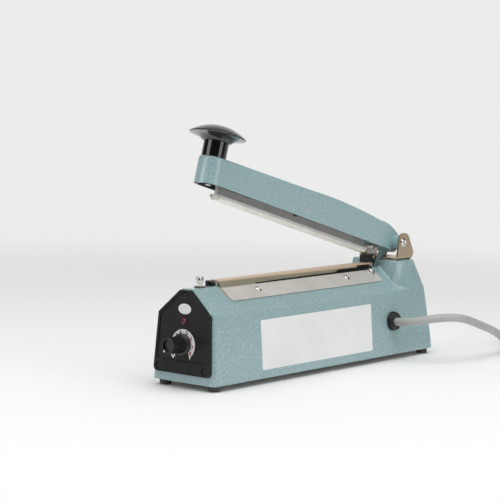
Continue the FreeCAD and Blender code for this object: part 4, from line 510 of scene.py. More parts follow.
# Bottom plate, feet and their screws
# A zinc plated sheet closes the case from below. Four turned rubber feet are screwed up through it into
# posts of the casting.

def finish_nodes(finish, *names):
    """Give CAD pieces that keep their own shape their finish."""
    for name in names:
        for slot in frame["nodes"][name].material_slots:
            slot.material = finish


zinc = scratched_metal("zinc_plate", (0.60, 0.60, 0.57), 0.36, (0.25, 1, 1), 0.8)
finish_nodes(zinc, "bottom_plate", "foot_screws")

foot_rubber = new_finish("foot_rubber", (0.055, 0.052, 0.050), 0.72)
mottle(foot_rubber, 160, (0.040, 0.038, 0.036), (0.085, 0.080, 0.074))
fine_grain(foot_rubber, 2200, 0.3, 0.06)
dress("rubber_feet", foot_rubber, "turned_feet", 0.3, None, 2, 30, 50)


# Front panel
# A black moulded plate screwed over the control end, with a raised border and a step along its foot.

FACE = on_case(-160, 0, 5) @ Matrix.Rotation(math.radians(2.6), 4, "Y")

panel_black = new_finish("panel_moulding", (0.012, 0.013, 0.013), 0.40, Specular_IOR_Level=0.25)
panel_cloud = mottle(panel_black, 90, (0.008, 0.009, 0.009), (0.016, 0.017, 0.017))
fine_grain(panel_black, 2600, 0.22, 0.04)
roughen(panel_black, panel_cloud, 0.38, 0.50)
dress("front_panel", panel_black, "panel_plate", 0.35, None, 2, 34, 40)


# Panel print
# The dial's ring with its digits, the pointer under it and the bare oval badge, printed on the recessed
# field in thin opaque ink.

FIELD = -2.3
DIAL_UP = 31.4


def new_ink(name, colour, dark, light):
    """An opaque printing ink."""
    ink = new_finish(name, colour, 0.5)
    mottle(ink, 700, dark, light, 0.3, 0.6)
    return ink


white_ink = new_ink("white_ink", (0.76, 0.76, 0.77), (0.68, 0.68, 0.70), (0.80, 0.80, 0.81))
black_ink = new_ink("black_ink", (0.02, 0.02, 0.022), (0.015, 0.015, 0.017), (0.035, 0.035, 0.037))
red_ink = new_ink("red_ink", (0.55, 0.03, 0.06), (0.48, 0.025, 0.05), (0.62, 0.04, 0.07))


def dial_spot(radius, turn):
    """A place on the field, by its distance from the dial's middle and its turn: 0 towards -Y, 90 up."""
    turn = math.radians(turn)
    return (0, -radius * math.cos(turn), DIAL_UP + radius * math.sin(turn))


def new_verts(made):
    """The vertices among what an extrusion made."""
    return [item for item in made["geom"] if isinstance(item, bmesh.types.BMVert)]


def print_film(bm, name, ink, rise=0.05):
    """Ink of that height on the field, from a flat shape drawn at X = 0."""
    faces = bm.faces[:]
    bmesh.ops.recalc_face_normals(bm, faces=faces)
    if sum(face.normal.x for face in faces) > 0:
        bmesh.ops.reverse_faces(bm, faces=faces)
    raised = bmesh.ops.extrude_face_region(bm, geom=faces)
    bmesh.ops.translate(bm, vec=(-rise, 0, 0), verts=new_verts(raised))
    bmesh.ops.translate(bm, vec=(FIELD, 0, 0), verts=bm.verts)
    settle(bm, name, ink, FACE, tidy=1e-5)


RING_INNER, RING_OUTER = 8.2, 12.7
RING_START, RING_SWEEP = -46, 271
bm = bmesh.new()
ring_side = [bm.verts.new(dial_spot(radius, RING_START)) for radius in (RING_INNER, RING_OUTER)]
ring_edge = bm.edges.new(ring_side)
bmesh.ops.spin(bm, geom=ring_side + [ring_edge], cent=(0, 0, DIAL_UP), axis=(1, 0, 0),
               angle=math.radians(-RING_SWEEP), steps=96, use_merge=False, use_duplicate=False)
ring_tip = [bm.verts.new(spot) for spot in (dial_spot(RING_INNER, RING_START),
                                            dial_spot(RING_OUTER, RING_START), (0, -7.9, 19.6))]
bm.faces.new(ring_tip)
bmesh.ops.remove_doubles(bm, verts=bm.verts, dist=1e-3)
print_film(bm, "dial_ring", white_ink)

DIGIT_OUT = 10.45
for digit, around, ink in (("1", 215, black_ink), ("2", 181, black_ink), ("3", 138, black_ink),
                           ("4", 109, black_ink), ("5", 70, black_ink), ("6", 34, red_ink),
                           ("7", -8, red_ink), ("8", -41, red_ink)):
    letter = bpy.data.curves.new("digit_" + digit, "FONT")
    letter.body = digit
    letter.size = 4.5
    letter.offset = 0.09
    letter.align_x, letter.align_y = "CENTER", "CENTER"
    letter.resolution_u = 4
    writing = bpy.data.objects.new("digit_" + digit, letter)
    outline = bpy.data.meshes.new_from_object(writing)
    bm = bmesh.new()
    bm.from_mesh(outline)
    bpy.data.objects.remove(writing)
    bpy.data.curves.remove(letter)
    bpy.data.meshes.remove(outline)
    _, down, up = dial_spot(DIGIT_OUT, around)
    upright = Matrix(((0, 0, -1, 0), (-1, 0, 0, down), (0, 1, 0, up), (0, 0, 0, 1)))
    bmesh.ops.transform(bm, matrix=upright, verts=bm.verts)
    bmesh.ops.remove_doubles(bm, verts=bm.verts, dist=1e-3)
    print_film(bm, "dial_digit_" + digit, ink, 0.09)

bm = bmesh.new()
bm.faces.new([bm.verts.new((0, y, z)) for y, z in (
    (12.4, 22.7), (11.1, 22.7), (10.0, 20.8), (8.9, 22.7), (7.6, 22.7), (9.6, 19.4), (10.4, 19.4))])
print_film(bm, "dial_pointer", white_ink)

bm = bmesh.new()
bmesh.ops.create_circle(bm, cap_ends=True, segments=64, radius=1)
bmesh.ops.rotate(bm, cent=(0, 0, 0), matrix=Matrix.Rotation(math.radians(90), 3, "Y"), verts=bm.verts)
bmesh.ops.scale(bm, vec=(1, 6.8, 4.3), verts=bm.verts)
bmesh.ops.translate(bm, vec=(0, 0, 60.8), verts=bm.verts)
print_film(bm, "oval_badge", white_ink, 0.12)


# Panel screws
# Three black self-tapping screws with domed heads and cross recesses, sunk in pockets of the panel.

def smooth_again(piece):
    """Smooth a piece between its creases after it was cut, with its own finish on every face."""
    for polygon in piece.data.polygons:
        polygon.material_index = 0
    while len(piece.data.materials) > 1:
        piece.data.materials.pop()
    piece.data.shade_smooth()
    piece.data.set_sharp_from_angle(angle=math.radians(32))


def cut_away(piece, bm):
    """Cut the shape of a bmesh, drawn in metres, out of a piece that has no modifiers."""
    tool_mesh = bpy.data.meshes.new("cutting_tool")
    bm.to_mesh(tool_mesh)
    bm.free()
    tool = bpy.data.objects.new("cutting_tool", tool_mesh)
    bpy.context.scene.collection.objects.link(tool)
    cut = piece.modifiers.new("cutting_tool", "BOOLEAN")
    cut.operation, cut.object, cut.solver = "DIFFERENCE", tool, "EXACT"
    cut_mesh = bpy.data.meshes.new_from_object(piece.evaluated_get(bpy.context.evaluated_depsgraph_get()))
    piece.modifiers.clear()
    piece.data = cut_mesh
    bpy.data.objects.remove(tool)
    bpy.data.meshes.remove(tool_mesh)


def cross_recess(piece, spots, across, deep):
    """Cut a cross recess for a driver at each spot, whose +Z looks out of the screw's head."""
    kept = [(modifier.name, modifier.type) for modifier in piece.modifiers]
    piece.modifiers.clear()
    for crossed in (0, 90):
        bm = bmesh.new()
        for spot in spots:
            slot = bmesh.ops.create_cube(bm, size=1)["verts"]
            bmesh.ops.scale(bm, vec=(across, across * 0.26, 2 * deep), verts=slot)
            bmesh.ops.scale(bm, vec=(0.5, 0.8, 1), verts=[v for v in slot if v.co.z < 0])
            bmesh.ops.rotate(bm, cent=(0, 0, 0), matrix=Matrix.Rotation(math.radians(crossed), 3, "Z"),
                             verts=slot)
            bmesh.ops.transform(bm, matrix=spot @ Matrix.Scale(0.001, 4), verts=slot)
        cut_away(piece, bm)
    smooth_again(piece)
    for name, kind in kept:
        piece.modifiers.new(name, kind).keep_sharp = True


screw_black = new_finish("blackened_steel", (0.030, 0.030, 0.032), 0.32, metallic=0.6)
mottle(screw_black, 900, (0.020, 0.020, 0.022), (0.050, 0.050, 0.053))
OUT_OF_FACE = Matrix.Rotation(math.radians(-90), 4, "Y")
panel_screws = dress("panel_screws", screw_black, "panel_screw_heads", 0.15, None, 2, 34, 50)
cross_recess(panel_screws, [FACE @ Matrix.Translation((-2.9 / 1000, y / 1000, z / 1000)) @ OUT_OF_FACE
                            for y, z in ((-24.6, 12), (24.6, 12), (0, 71.6))], 2.7, 0.8)


# Indicator lamp
# A red moulded lens with a raised rim and a dimpled middle, snapped into the panel over a neon lamp.

lens_red = new_finish("lens_red", (0.15, 0.012, 0.010), 0.20, Specular_IOR_Level=0.6, Coat_Weight=0.4)
mottle(lens_red, 500, (0.10, 0.008, 0.007), (0.21, 0.018, 0.013), detail=2.0)
lens_dark = new_finish("lens_middle", (0.05, 0.012, 0.010), 0.14, Coat_Weight=0.4)
mottle(lens_dark, 500, (0.030, 0.008, 0.007), (0.09, 0.016, 0.012), detail=2.0)
LAMP = FACE @ Matrix.Translation((0, 0, 0.0506))
bm = turn([(0, -0.4), (2.68, -0.4), (2.68, -2.9), (2.5, -3.25), (2.2, -3.4), (1.9, -3.3), (1.75, -2.9),
           (1.7, -2.6), (0, -2.6)], 40, "X")
settle(bm, "lamp_rim", lens_red, LAMP, "case", ["lamp_lens"])
bm = turn([(0, -2.55), (1.66, -2.55), (1.6, -2.8), (1.1, -3.05), (0.5, -3.15), (0, -3.18)], 32, "X")
settle(bm, "lamp_middle", lens_dark, LAMP, "case")
finish_nodes(panel_black, "lamp_holder")


# Timer knob
# A black ribbed knob with a flange and a hollow face, pressed on the potentiometer's spindle. A white
# dot on its rim points to the dial.

knob_black = new_finish("knob_moulding", (0.016, 0.017, 0.014), 0.30, Specular_IOR_Level=0.55)
knob_cloud = mottle(knob_black, 260, (0.010, 0.011, 0.009), (0.024, 0.024, 0.020))
roughen(knob_black, knob_cloud, 0.26, 0.40)
fine_grain(knob_black, 2600, 0.15, 0.03)
dress("timer_knob", knob_black, "ribbed_timer_knob", 0.25, None, 2, 30, 50)
KNOB_REACH = 3.1 + 18.3
DOT_OUT, DOT_TURN = 6.0, math.radians(235)
KNOB_FACE = FACE @ Matrix.Translation((-KNOB_REACH / 1000, 0, 0.0317))
bm = bmesh.new()
bmesh.ops.create_uvsphere(bm, u_segments=20, v_segments=12, radius=0.85)
bmesh.ops.scale(bm, vec=(0.25, 1, 1), verts=bm.verts)
bmesh.ops.translate(bm, vec=(0, -DOT_OUT * math.cos(DOT_TURN), DOT_OUT * math.sin(DOT_TURN)), verts=bm.verts)
settle(bm, "knob_dot", white_ink, KNOB_FACE, "timer_dial_knob")


# Timer and its board
# The potentiometer with its nut, washer and spindle, and the circuit board on its brass pillars, behind
# the panel.

steel = scratched_metal("bright_steel", (0.62, 0.61, 0.59), 0.26, (0.3, 1, 1), 0.6)
finish_nodes(steel, "potentiometer", "potentiometer_nut", "timer_spindle")
board_green = new_finish("board_green", (0.07, 0.24, 0.11), 0.35)
board_tracks = grain(board_green, "Brick", 140)
tint(board_green, board_tracks.outputs["Fac"], (0.06, 0.20, 0.09), (0.12, 0.33, 0.16))
roughen(board_green, board_tracks.outputs["Fac"], 0.28, 0.45)
finish_nodes(board_green, "timer_board")
finish_nodes(pin_brass, "board_pillars")


# Transformer
# A stack of steel laminations with a taped copper winding, held to the bottom plate by a sheet strap.

sheets = scratched_metal("lamination_stack", (0.24, 0.24, 0.25), 0.5, (1, 14, 1), 2.0)
finish_nodes(sheets, "transformer_core")
winding = scratched_metal("enamelled_copper", (0.60, 0.30, 0.15), 0.35, (1, 1, 12), 2.0)
finish_nodes(winding, "transformer_winding")
finish_nodes(zinc, "transformer_strap", "transformer_screws")


# Push rod and switch
# A nickel plated rod with a fluted cap, in a flanged sleeve in the deck. It presses the micro switch
# that hangs under the deck on a bracket.

nickel = scratched_metal("bright_nickel", (0.72, 0.70, 0.67), 0.16, (1, 1, 0.3), 0.5)
bm = turn([(0, 0.05), (1.9, 0.05), (2.6, -0.25), (3.1, -0.8), (3.1, -4.4), (2.8, -4.9), (2.3, -5.2),
           (1.98, -5.2), (1.98, -20.95), (0, -20.95)])
FLUTES = 12
for vert in bm.verts:
    if -4.7 < vert.co.z < -0.5 and vert.co.xy.length > 2.9:
        vert.co.xy *= 0.95 - 0.05 * math.cos(FLUTES * math.atan2(vert.co.y, vert.co.x))
settle(bm, "fluted_push_rod", nickel, on_case(-141.4, 0, 91), "switch_rod", ["push_rod"], 50)
# The guide sleeve is given a darker nickel than the rod.
dark_nickel = scratched_metal("darker_nickel", (0.20, 0.19, 0.17), 0.34, (1, 1, 0.3), 0.6)
dress("rod_sleeve", dark_nickel, "rod_guide_sleeve", 0.2, None, 2, 34, 50)
finish_nodes(panel_black, "micro_switch")
finish_nodes(zinc, "switch_bracket")


# Sealing bar and element
# An extruded aluminium bar on the deck, a strip of woven glass tape on it, and the flat heating element.

aluminium = scratched_metal("drawn_aluminium", (0.66, 0.66, 0.65), 0.34, (0.04, 1, 1), 1.2)
dress("sealing_bar", aluminium, "bar_extrusion", 0.3, None, 2)
finish_nodes(zinc, "bar_screws")
glass_tape = new_finish("glass_tape", (0.46, 0.33, 0.20), 0.7)
tape_weave = grain(glass_tape, "Checker", 2400)
tint(glass_tape, tape_weave.outputs["Fac"], (0.40, 0.28, 0.17), (0.52, 0.38, 0.24))
emboss(glass_tape, tape_weave.outputs["Fac"], 0.4, 0.08)
finish_nodes(glass_tape, "bar_tape")
finish_nodes(scratched_metal("element_strip", (0.50, 0.46, 0.42), 0.32, (0.05, 1, 1)), "heating_element")


# Sealing cloth
# A sheet of coated glass cloth, stretched from under one clamping plate, over the bar and its element,
# to under the other. It goes straight from the bar's edge to each shoulder.

CLOTH_LENGTH, CLOTH_START = 218.7, -123.2
DECK, DECK_HALF = 82, 5
SHOULDER = math.radians(40.503)


def on_slope(down, rise):
    """Y and Z of a place on the far shoulder, by its way down the slope and its height over it."""
    return (DECK_HALF + down * math.cos(SHOULDER) + rise * math.sin(SHOULDER),
            DECK - down * math.sin(SHOULDER) + rise * math.cos(SHOULDER))


half_line = [(0, 86.66), (3.2, 86.66), (4.0, 86.58), (4.35, 86.2), (4.5, 85.6), (4.85, 84.8), (5.9, 82.6),
             on_slope(1.55, 0.42), on_slope(2.3, 0.2), on_slope(4, 0.17), on_slope(8, 0.17),
             on_slope(12.4, 0.17)]
cloth_line = [(-y, z) for y, z in reversed(half_line[1:])] + half_line
way = [0.0]
for a, b in zip(cloth_line, cloth_line[1:]):
    way.append(way[-1] + math.dist(a, b))
CLOTH_WIDTH = way[-1]

# Its UV map is in metres: U along the bar from the front, V across from the near hem.
cloth_brown = new_finish("coated_cloth", (0.46, 0.345, 0.235), 0.38, Specular_IOR_Level=0.5,
                         Sheen_Weight=0.15)
cloth_map = add_node(cloth_brown, "UVMap")
cloth_warp = add_node(cloth_brown, "TexWave", Vector=cloth_map.outputs["UV"], Scale=620.0)
cloth_warp.bands_direction = "X"
cloth_weft = add_node(cloth_brown, "TexWave", Vector=cloth_map.outputs["UV"], Scale=620.0)
cloth_weft.bands_direction = "Y"
cloth_threads = add_node(cloth_brown, "Math", _0=cloth_warp.outputs["Fac"], _1=cloth_weft.outputs["Fac"])
cloth_threads.operation = "MULTIPLY"
cloth_stain = add_node(cloth_brown, "TexNoise", Vector=cloth_map.outputs["UV"], Scale=34.0, Detail=4.0)
# Painted light and painted shade: the top of the cloth is painted lighter and its side facets darker, both
# clouded by the cloth's stains.
cloth_lit_top = add_node(cloth_brown, "Mix", _0=cloth_stain.outputs["Fac"])
cloth_shaded_side = add_node(cloth_brown, "Mix", _0=cloth_stain.outputs["Fac"])
for half, dark, light in ((cloth_lit_top, (0.58, 0.42, 0.28), (0.72, 0.55, 0.38)),
                          (cloth_shaded_side, (0.215, 0.195, 0.135), (0.33, 0.305, 0.215))):
    half.data_type = "RGBA"
    half.inputs[6].default_value, half.inputs[7].default_value = (*dark, 1), (*light, 1)
cloth_across = add_node(cloth_brown, "SeparateXYZ", Vector=cloth_map.outputs["UV"])
cloth_off_middle = add_node(cloth_brown, "Math", _0=cloth_across.outputs["Y"],
                            _1=CLOTH_WIDTH / 2000)
cloth_off_middle.operation = "SUBTRACT"
cloth_out = add_node(cloth_brown, "Math", _0=cloth_off_middle.outputs["Value"])
cloth_out.operation = "ABSOLUTE"
cloth_rise = add_node(cloth_brown, "Math", _0=cloth_across.outputs["X"], _1=-0.008,
                      _2=cloth_out.outputs["Value"])
cloth_rise.operation = "MULTIPLY_ADD"
cloth_bend = add_node(cloth_brown, "MapRange", Value=cloth_rise.outputs["Value"], From_Min=0.0045,
                      From_Max=0.0054)
cloth_shade_eased_at_hem = add_node(cloth_brown, "MapRange", Value=cloth_out.outputs["Value"], From_Min=0.0098,
                          From_Max=0.0112, To_Min=1.0, To_Max=0.35)
# Painted shade: past the bar's edge the cloth is painted darker, less so towards the hems.
cloth_painted_shade = add_node(cloth_brown, "Math", _0=cloth_bend.outputs["Result"],
                      _1=cloth_shade_eased_at_hem.outputs["Result"])
cloth_painted_shade.operation = "MULTIPLY"
tint(cloth_brown, cloth_painted_shade.outputs["Value"], cloth_lit_top.outputs[2], cloth_shaded_side.outputs[2])
emboss(cloth_brown, cloth_threads.outputs["Value"], 0.35, 0.08)
roughen(cloth_brown, cloth_stain.outputs["Fac"], 0.30, 0.46)

bm = bmesh.new()
line = [bm.verts.new((CLOTH_START, y, z)) for y, z in cloth_line]
edges = [bm.edges.new(pair) for pair in zip(line, line[1:])]
STEPS = 24
for _ in range(STEPS):
    pulled = bmesh.ops.extrude_edge_only(bm, edges=edges)
    edges = [item for item in pulled["geom"] if isinstance(item, bmesh.types.BMEdge)]
    bmesh.ops.translate(bm, vec=(CLOTH_LENGTH / STEPS, 0, 0), verts=new_verts(pulled))
bmesh.ops.remove_doubles(bm, verts=bm.verts, dist=1e-4)
bmesh.ops.recalc_face_normals(bm, faces=bm.faces)
if sum(face.normal.z for face in bm.faces) < 0:
    bmesh.ops.reverse_faces(bm, faces=bm.faces)
cloth_uv = bm.loops.layers.uv.new("UVMap")
for face in bm.faces:
    for loop in face.loops:
        spot = min(range(len(cloth_line)),
                   key=lambda i: math.dist(cloth_line[i], (loop.vert.co.y, loop.vert.co.z)))
        loop[cloth_uv].uv = ((loop.vert.co.x - CLOTH_START) / 1000, way[spot] / 1000)
for vert in bm.verts:
    along = vert.co.x
    if 4.6 < abs(vert.co.y) < 6.5:
        vert.co.y += math.copysign(0.10 * math.sin(along * 0.11) * math.sin(along * 0.037), vert.co.y)
cloth = settle(bm, "stretched_cloth", cloth_brown, on_case(0, 0, 0), "case", ["sealing_cloth"],
               70, 1e-4)
cloth_hem = cloth.modifiers.new("cloth_thickness", "SOLIDIFY")
cloth_hem.thickness = 0.00026
cloth_hem.offset = 0.0


# Painted shade strip
# A thin black sheet lies on the cloth's near side, tucked in under the plate, where it stands as painted
# shade along the cloth's edge. It is cut taller towards the hinge.

# A near-black finish for the painted shade sheet.
shade_sheet_finish = new_finish("painted_shade_black", (0.005, 0.007, 0.006), 0.34, Specular_IOR_Level=0.3)
tint(shade_sheet_finish, grain(shade_sheet_finish, "Noise", 500, (0.1, 1, 1), Detail=3.0).outputs["Fac"], (0.003, 0.004, 0.004),
     (0.012, 0.016, 0.014), 0.3, 0.7)
SHADE_SHEET_FOOT, SHADE_SHEET_TOP = Vector((0, -6.95, 81.25)), Vector((0, -4.72, 85.55))
shade_sheet_up = (SHADE_SHEET_TOP - SHADE_SHEET_FOOT).normalized()
bm = bmesh.new()
shade_sheet_face = bm.faces.new([bm.verts.new(SHADE_SHEET_FOOT + shade_sheet_up * up + Vector((x, 0, 0))) for x, up in (
    (-78, -1.0), (-76, 0.3), (-40, 0.75), (36, 0.85), (39.5, 1.5), (43, 2.7), (72, 2.5), (73.6, 4.5),
    (91, 4.4), (94.5, 0.6), (94.5, -1.0))])
if shade_sheet_face.normal.y > 0:
    shade_sheet_face.normal_flip()
shade_sheet_out = Vector((0, -shade_sheet_up.z, shade_sheet_up.y))
shade_sheet_body = bmesh.ops.extrude_face_region(bm, geom=[shade_sheet_face])
bmesh.ops.translate(bm, vec=shade_sheet_out * 0.2, verts=bm.verts)
bmesh.ops.translate(bm, vec=shade_sheet_out * 0.25, verts=new_verts(shade_sheet_body))
settle(bm, "painted_shade_strip", shade_sheet_finish, on_case(0, 0, 0), tidy=1e-4)


# Clamping plates
# Two strips of plated sheet with a rounded front corner hold the cloth down on the shoulders, each with
# two domed screws and a third one, with a washer, in its notched rear corner.

plated = scratched_metal("satin_nickel_sheet", (0.83, 0.795, 0.745), 0.38, (0.06, 1, 1), 0.6)
plated.node_tree.nodes["Principled BSDF"].inputs["Metallic"].default_value = 0.45
plate_near = dress("cloth_plate_near", plated, "near_clamping_plate", 0.22, None, 2)
plate_far = dress("cloth_plate_far", plated, "far_clamping_plate", 0.22, None, 2)
SLOPE_NEAR = on_case(0, -DECK_HALF, DECK) @ Matrix.Rotation(SHOULDER, 4, "X")
SLOPE_FAR = on_case(0, DECK_HALF, DECK) @ Matrix.Rotation(-SHOULDER, 4, "X")
# The upper edge of each plate ends a little down the slope, so that the cloth shows above it.
UPPER_EDGE, SET_DOWN = 0.0026, 0.0009
for plate, slope in ((plate_near, SLOPE_NEAR), (plate_far, SLOPE_FAR)):
    from_slope = slope.inverted()
    for vert in plate.data.vertices:
        spot = from_slope @ vert.co
        if abs(spot.y) < UPPER_EDGE:
            spot.y = math.copysign(abs(spot.y) + SET_DOWN, spot.y)
            vert.co = slope @ spot
plate_screws = dress("plate_screws", nickel, "domed_plate_screws", 0.35, None, 3, 40, 25)
recesses = []
for slope, side in ((SLOPE_NEAR, -1), (SLOPE_FAR, 1)):
    for x, down, top in ((-80, 9.4, 2.75), (46.6, 9.4, 2.75), (88.5, 5.2, 3.55)):
        recesses.append(slope @ Matrix.Translation((x / 1000, side * down / 1000, top / 1000))
                        @ Matrix.Rotation(math.radians(25 + 37 * len(recesses)), 4, "Z"))
cross_recess(plate_screws, recesses, 3.0, 0.9)
dress("corner_washers", nickel, "plate_washers", 0.15, None, 2)


# Element clamps
# A phenolic block at each end of the bar grips the element's ends.

phenolic = new_finish("black_phenolic", (0.010, 0.010, 0.009), 0.34, Specular_IOR_Level=0.35)
mottle(phenolic, 400, (0.006, 0.007, 0.006), (0.017, 0.018, 0.016))
fine_grain(phenolic, 1500, 0.2, 0.05)
bm = block((-126.2, -1.6, DECK + 0.02), (-124.1, 4.4, DECK + 3.0))
soften(bm, sharp_edges(bm), 0.4, 3)
clamp_lug = block((-129.4, 1.6, DECK + 0.02), (-125.9, 4.4, DECK + 4.6))
soften(clamp_lug, sharp_edges(clamp_lug), 0.5, 3)
add_to(bm, clamp_lug)
settle(bm, "front_element_clamp", phenolic, on_case(0, 0, 0), "case", ["front_clamp_block"])
dress("rear_clamp_block", phenolic, "rear_element_clamp", 0.5, None, 3)


# Hinge bracket
# A plated steel U on the casting's block: two ears carry the hinge pin, two screws with cross recesses
# hold its base down.

bracket_plate = scratched_metal("nickelled_bracket", (0.56, 0.455, 0.33), 0.30, (0.3, 1, 0.3), 0.3)
dress("hinge_bracket", bracket_plate, "ear_bracket", 0.35, None, 3)
bracket_screws = dress("bracket_screws", nickel, "bracket_screw_heads", 0.3, None, 2)
cross_recess(bracket_screws, [on_case(132.5, y, 92.3) @ Matrix.Rotation(math.radians(20), 4, "Z")
                              for y in (-13, 13)], 3.6, 1.1)
HINGE_X, HINGE_Z = 121.8, 104.6
hinge_pin = dress("hinge_pin", nickel, "hinge_screw", 0.3, None, 2)
PIN_OUT = Matrix.Rotation(math.radians(90), 4, "X") @ Matrix.Rotation(math.radians(12), 4, "Z")
cross_recess(hinge_pin, [on_case(HINGE_X, -23.5, HINGE_Z) @ PIN_OUT], 4.6, 1.3)
dress("hinge_nut", nickel, "hinge_pin_nut", 0.3, None, 2)


# Arm
# A hollow casting, open below, in the same enamel: round boss in front for the knob, barrel and bushes
# at the hinge, and a tail that hangs through the case's slot to the return spring.

ARM_RAISED = 15.26
ARM = on_case(HINGE_X, 0, HINGE_Z) @ Matrix.Rotation(math.radians(ARM_RAISED), 4, "Y")
arm_casting = dress("arm", enamel, "arm_casting", 0.45, lambda edge: edge.calc_length() > 0.3, 2, 36, 48)

# The hollow underside is painted dark, as painted shade inside the casting.
arm_inside_shade = new_finish("painted_shade_in_arm", (0.030, 0.042, 0.040), 0.6)
mottle(arm_inside_shade, 200, (0.020, 0.030, 0.029), (0.050, 0.066, 0.063))
arm_casting.data.materials.append(arm_inside_shade)
into_arm = ARM.inverted()
for face in arm_casting.data.polygons:
    spot = into_arm @ face.center * 1000
    facing = into_arm.to_3x3() @ face.normal
    inside = abs(spot.y) < 10.4 and -8.3 < spot.z < 12.6 and -273 < spot.x < -13
    looks_in = facing.z < -0.3 or spot.y * facing.y < 0
    looks_back = abs(facing.y) < 0.3 and spot.z < 11 and facing.x > 0
    if inside and (looks_in or looks_back):
        face.material_index = 1

# The tail widens towards the hinge on its rear side.
TAIL_WIDER = 2.6
for vert in arm_casting.data.vertices:
    spot = into_arm @ vert.co * 1000
    if -36 < spot.z < -9 and abs(spot.y) < 3 and -12 < spot.x < 6:
        middle = 1.5 - 4.5 * (spot.z + 9) / -17 if spot.z > -26 else -3 - 5 * (spot.z + 26) / -17
        if spot.x > middle:
            spot.x += TAIL_WIDER * min(1, (spot.z + 36) / 8)
            vert.co = ARM @ (spot / 1000)
finish_nodes(pin_brass, "hinge_bushes")
finish_nodes(nickel, "press_bar_pin")


# Pressure bar
# A drawn aluminium T whose foot is a channel, lightened by round holes, with a pale silicone strip
# pushed into the channel. It rocks on a rubber grommet round its pin.

def extrusion(section, start, length):
    """A bmesh of a Y-Z section, drawn out along +X from its start."""
    bm = bmesh.new()
    end = bm.faces.new([bm.verts.new((start, y, z)) for y, z in section])
    run = bmesh.ops.extrude_face_region(bm, geom=[end])
    bmesh.ops.translate(bm, vec=(length, 0, 0), verts=new_verts(run))
    return bm


bar_section = [(1.4, 5.2), (1.4, -12.9), (5.8, -12.9), (5.8, -15.4), (3.3, -15.4), (3.3, -14.7), (4.9, -14.7),
               (4.9, -13.8)]
bar_section = [(-y, z) for y, z in reversed(bar_section)] + bar_section
bm = extrusion(bar_section[::-1], -251, 218)
soften(bm, edges_along(bm, 0), 0.12, 2)
drawn_bar = scratched_metal("bar_aluminium", (0.66, 0.65, 0.64), 0.42, (0.03, 1, 1), 0.8)
drawn_bar.node_tree.nodes["Principled BSDF"].inputs["Metallic"].default_value = 0.35
press_bar = settle(bm, "pressure_bar_extrusion", drawn_bar, ARM, "pressure_bar_assembly",
                   ["pressure_bar"], 25, 1e-4)
BAR_MIDDLE, BORE_STEP = -142, 67.5
bm = bmesh.new()
for step in (-1, 0, 1):
    drill = bmesh.ops.create_cone(bm, cap_ends=True, segments=40, radius1=6, radius2=6, depth=8)["verts"]
    bmesh.ops.rotate(bm, cent=(0, 0, 0), matrix=Matrix.Rotation(math.radians(90), 3, "X"), verts=drill)
    bmesh.ops.translate(bm, vec=(BAR_MIDDLE + BORE_STEP * step, 0, -0.7), verts=drill)
bmesh.ops.transform(bm, matrix=ARM @ Matrix.Scale(0.001, 4), verts=bm.verts)
cut_away(press_bar, bm)
smooth_again(press_bar)

silicone_pale = new_finish("pale_silicone", (0.84, 0.83, 0.77), 0.42)
mottle(silicone_pale, 70, (0.78, 0.77, 0.68), (0.90, 0.89, 0.85), 0.35, 0.65)
fine_grain(silicone_pale, 1400, 0.12, 0.05)
face_section = [(4.8, -13.9), (4.8, -14.6), (3.2, -14.6), (3.2, -15.5), (5.5, -15.5), (5.5, -16.6),
                (4.6, -17.5)]
face_section += [(-y, z) for y, z in reversed(face_section)]
bm = extrusion(face_section, -250.2, 216.4)
soften(bm, [e for e in edges_along(bm, 0) if max(vert.co.z for vert in e.verts) < -16], 0.4, 3)
settle(bm, "silicone_face", silicone_pale, ARM, "pressure_bar_assembly", ["silicone_strip"],
       40, 1e-4)
finish_nodes(foot_rubber, "press_grommet")


# Retaining clip
# A bent strip of bright plated sheet, screwed under the arm behind the pressure bar.

dress("bar_clip", nickel, "retaining_clip", 0.3, None, 3)
dress("clip_screw", nickel, "clip_screw_head", 0.25, None, 2)


# Mushroom knob
# A polished black phenolic cap with a sharp rim and a hollow trumpet underside, which slides on a
# collar of the same material when it is pressed.

ARM_REACH = 262.5
KNOB = ARM @ Matrix.Translation((-ARM_REACH / 1000, 0, 0))

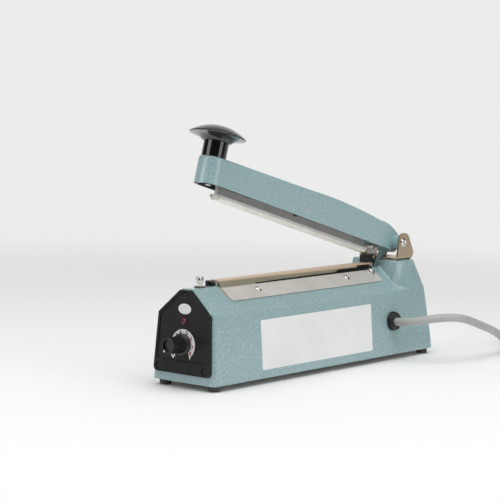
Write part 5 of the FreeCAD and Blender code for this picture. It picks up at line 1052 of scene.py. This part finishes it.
polished = new_finish("polished_phenolic", (0.003, 0.003, 0.0035), 0.10, Specular_IOR_Level=0.5,
                      Coat_Weight=0.65, Coat_Roughness=0.03, Coat_IOR=1.6)
polish_marks = mottle(polished, 60, (0.0015, 0.0015, 0.002), (0.0045, 0.0045, 0.005), detail=4.0)
roughen(polished, polish_marks, 0.07, 0.16)

bm = turn([(2.66, 15.1), (10.2, 15.1), (10.4, 15.3), (10.4, 29.1), (10.1, 29.4), (7.5, 29.4), (7.2, 29.1),
           (7.2, 17.3), (2.66, 17.3), (2.66, 15.1)], 96)
settle(bm, "knob_collar_turned", polished, KNOB, "arm_assembly", ["knob_collar"], 40)
bm = turn([(0, 42.4), (3, 42.35), (8, 41.75), (13, 40.4), (18, 38.1), (21.5, 35.9), (23.3, 34.6),
           (23.9, 34.0), (24, 33.75), (23.85, 33.4), (23.2, 33.1), (21, 32.85), (18, 32.35), (15.6, 31.4),
           (13.8, 30.1), (12.7, 29.0), (12.2, 28.5), (11.8, 28.4), (10.85, 28.4), (10.7, 28.55),
           (10.7, 28.9), (10.7, 37.1), (10.7, 37.4), (10.4, 37.4), (2.9, 37.4), (2.6, 37.4), (2.6, 37.7),
           (2.6, 39.3), (2.6, 39.6), (2.3, 39.6), (0, 39.6)], 128)
cap = settle(bm, "mushroom_cap", polished, KNOB, "knob_assembly", ["handle_knob"], 50)
cap_round = cap.modifiers.new("polished_curves", "SUBSURF")
cap_round.levels = cap_round.render_levels = 1

# The spring under the cap stands on the collar's floor and is pressed together with the knob.
cap_spring = dress("knob_spring", steel, "cap_spring")
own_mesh(cap_spring)
finish_nodes(steel, "knob_plunger", "return_spring", "spring_anchor")


# Strain relief
# A black nylon bush in the near side: a round flange and a faceted grip that squeezes the lead.

nylon = new_finish("black_nylon", (0.010, 0.010, 0.011), 0.17, Specular_IOR_Level=0.6)
mottle(nylon, 300, (0.007, 0.007, 0.008), (0.015, 0.015, 0.016))
fine_grain(nylon, 1800, 0.15, 0.04)
dress("strain_relief", nylon, "lead_bush", 0.5, None, 3, 34, 30)
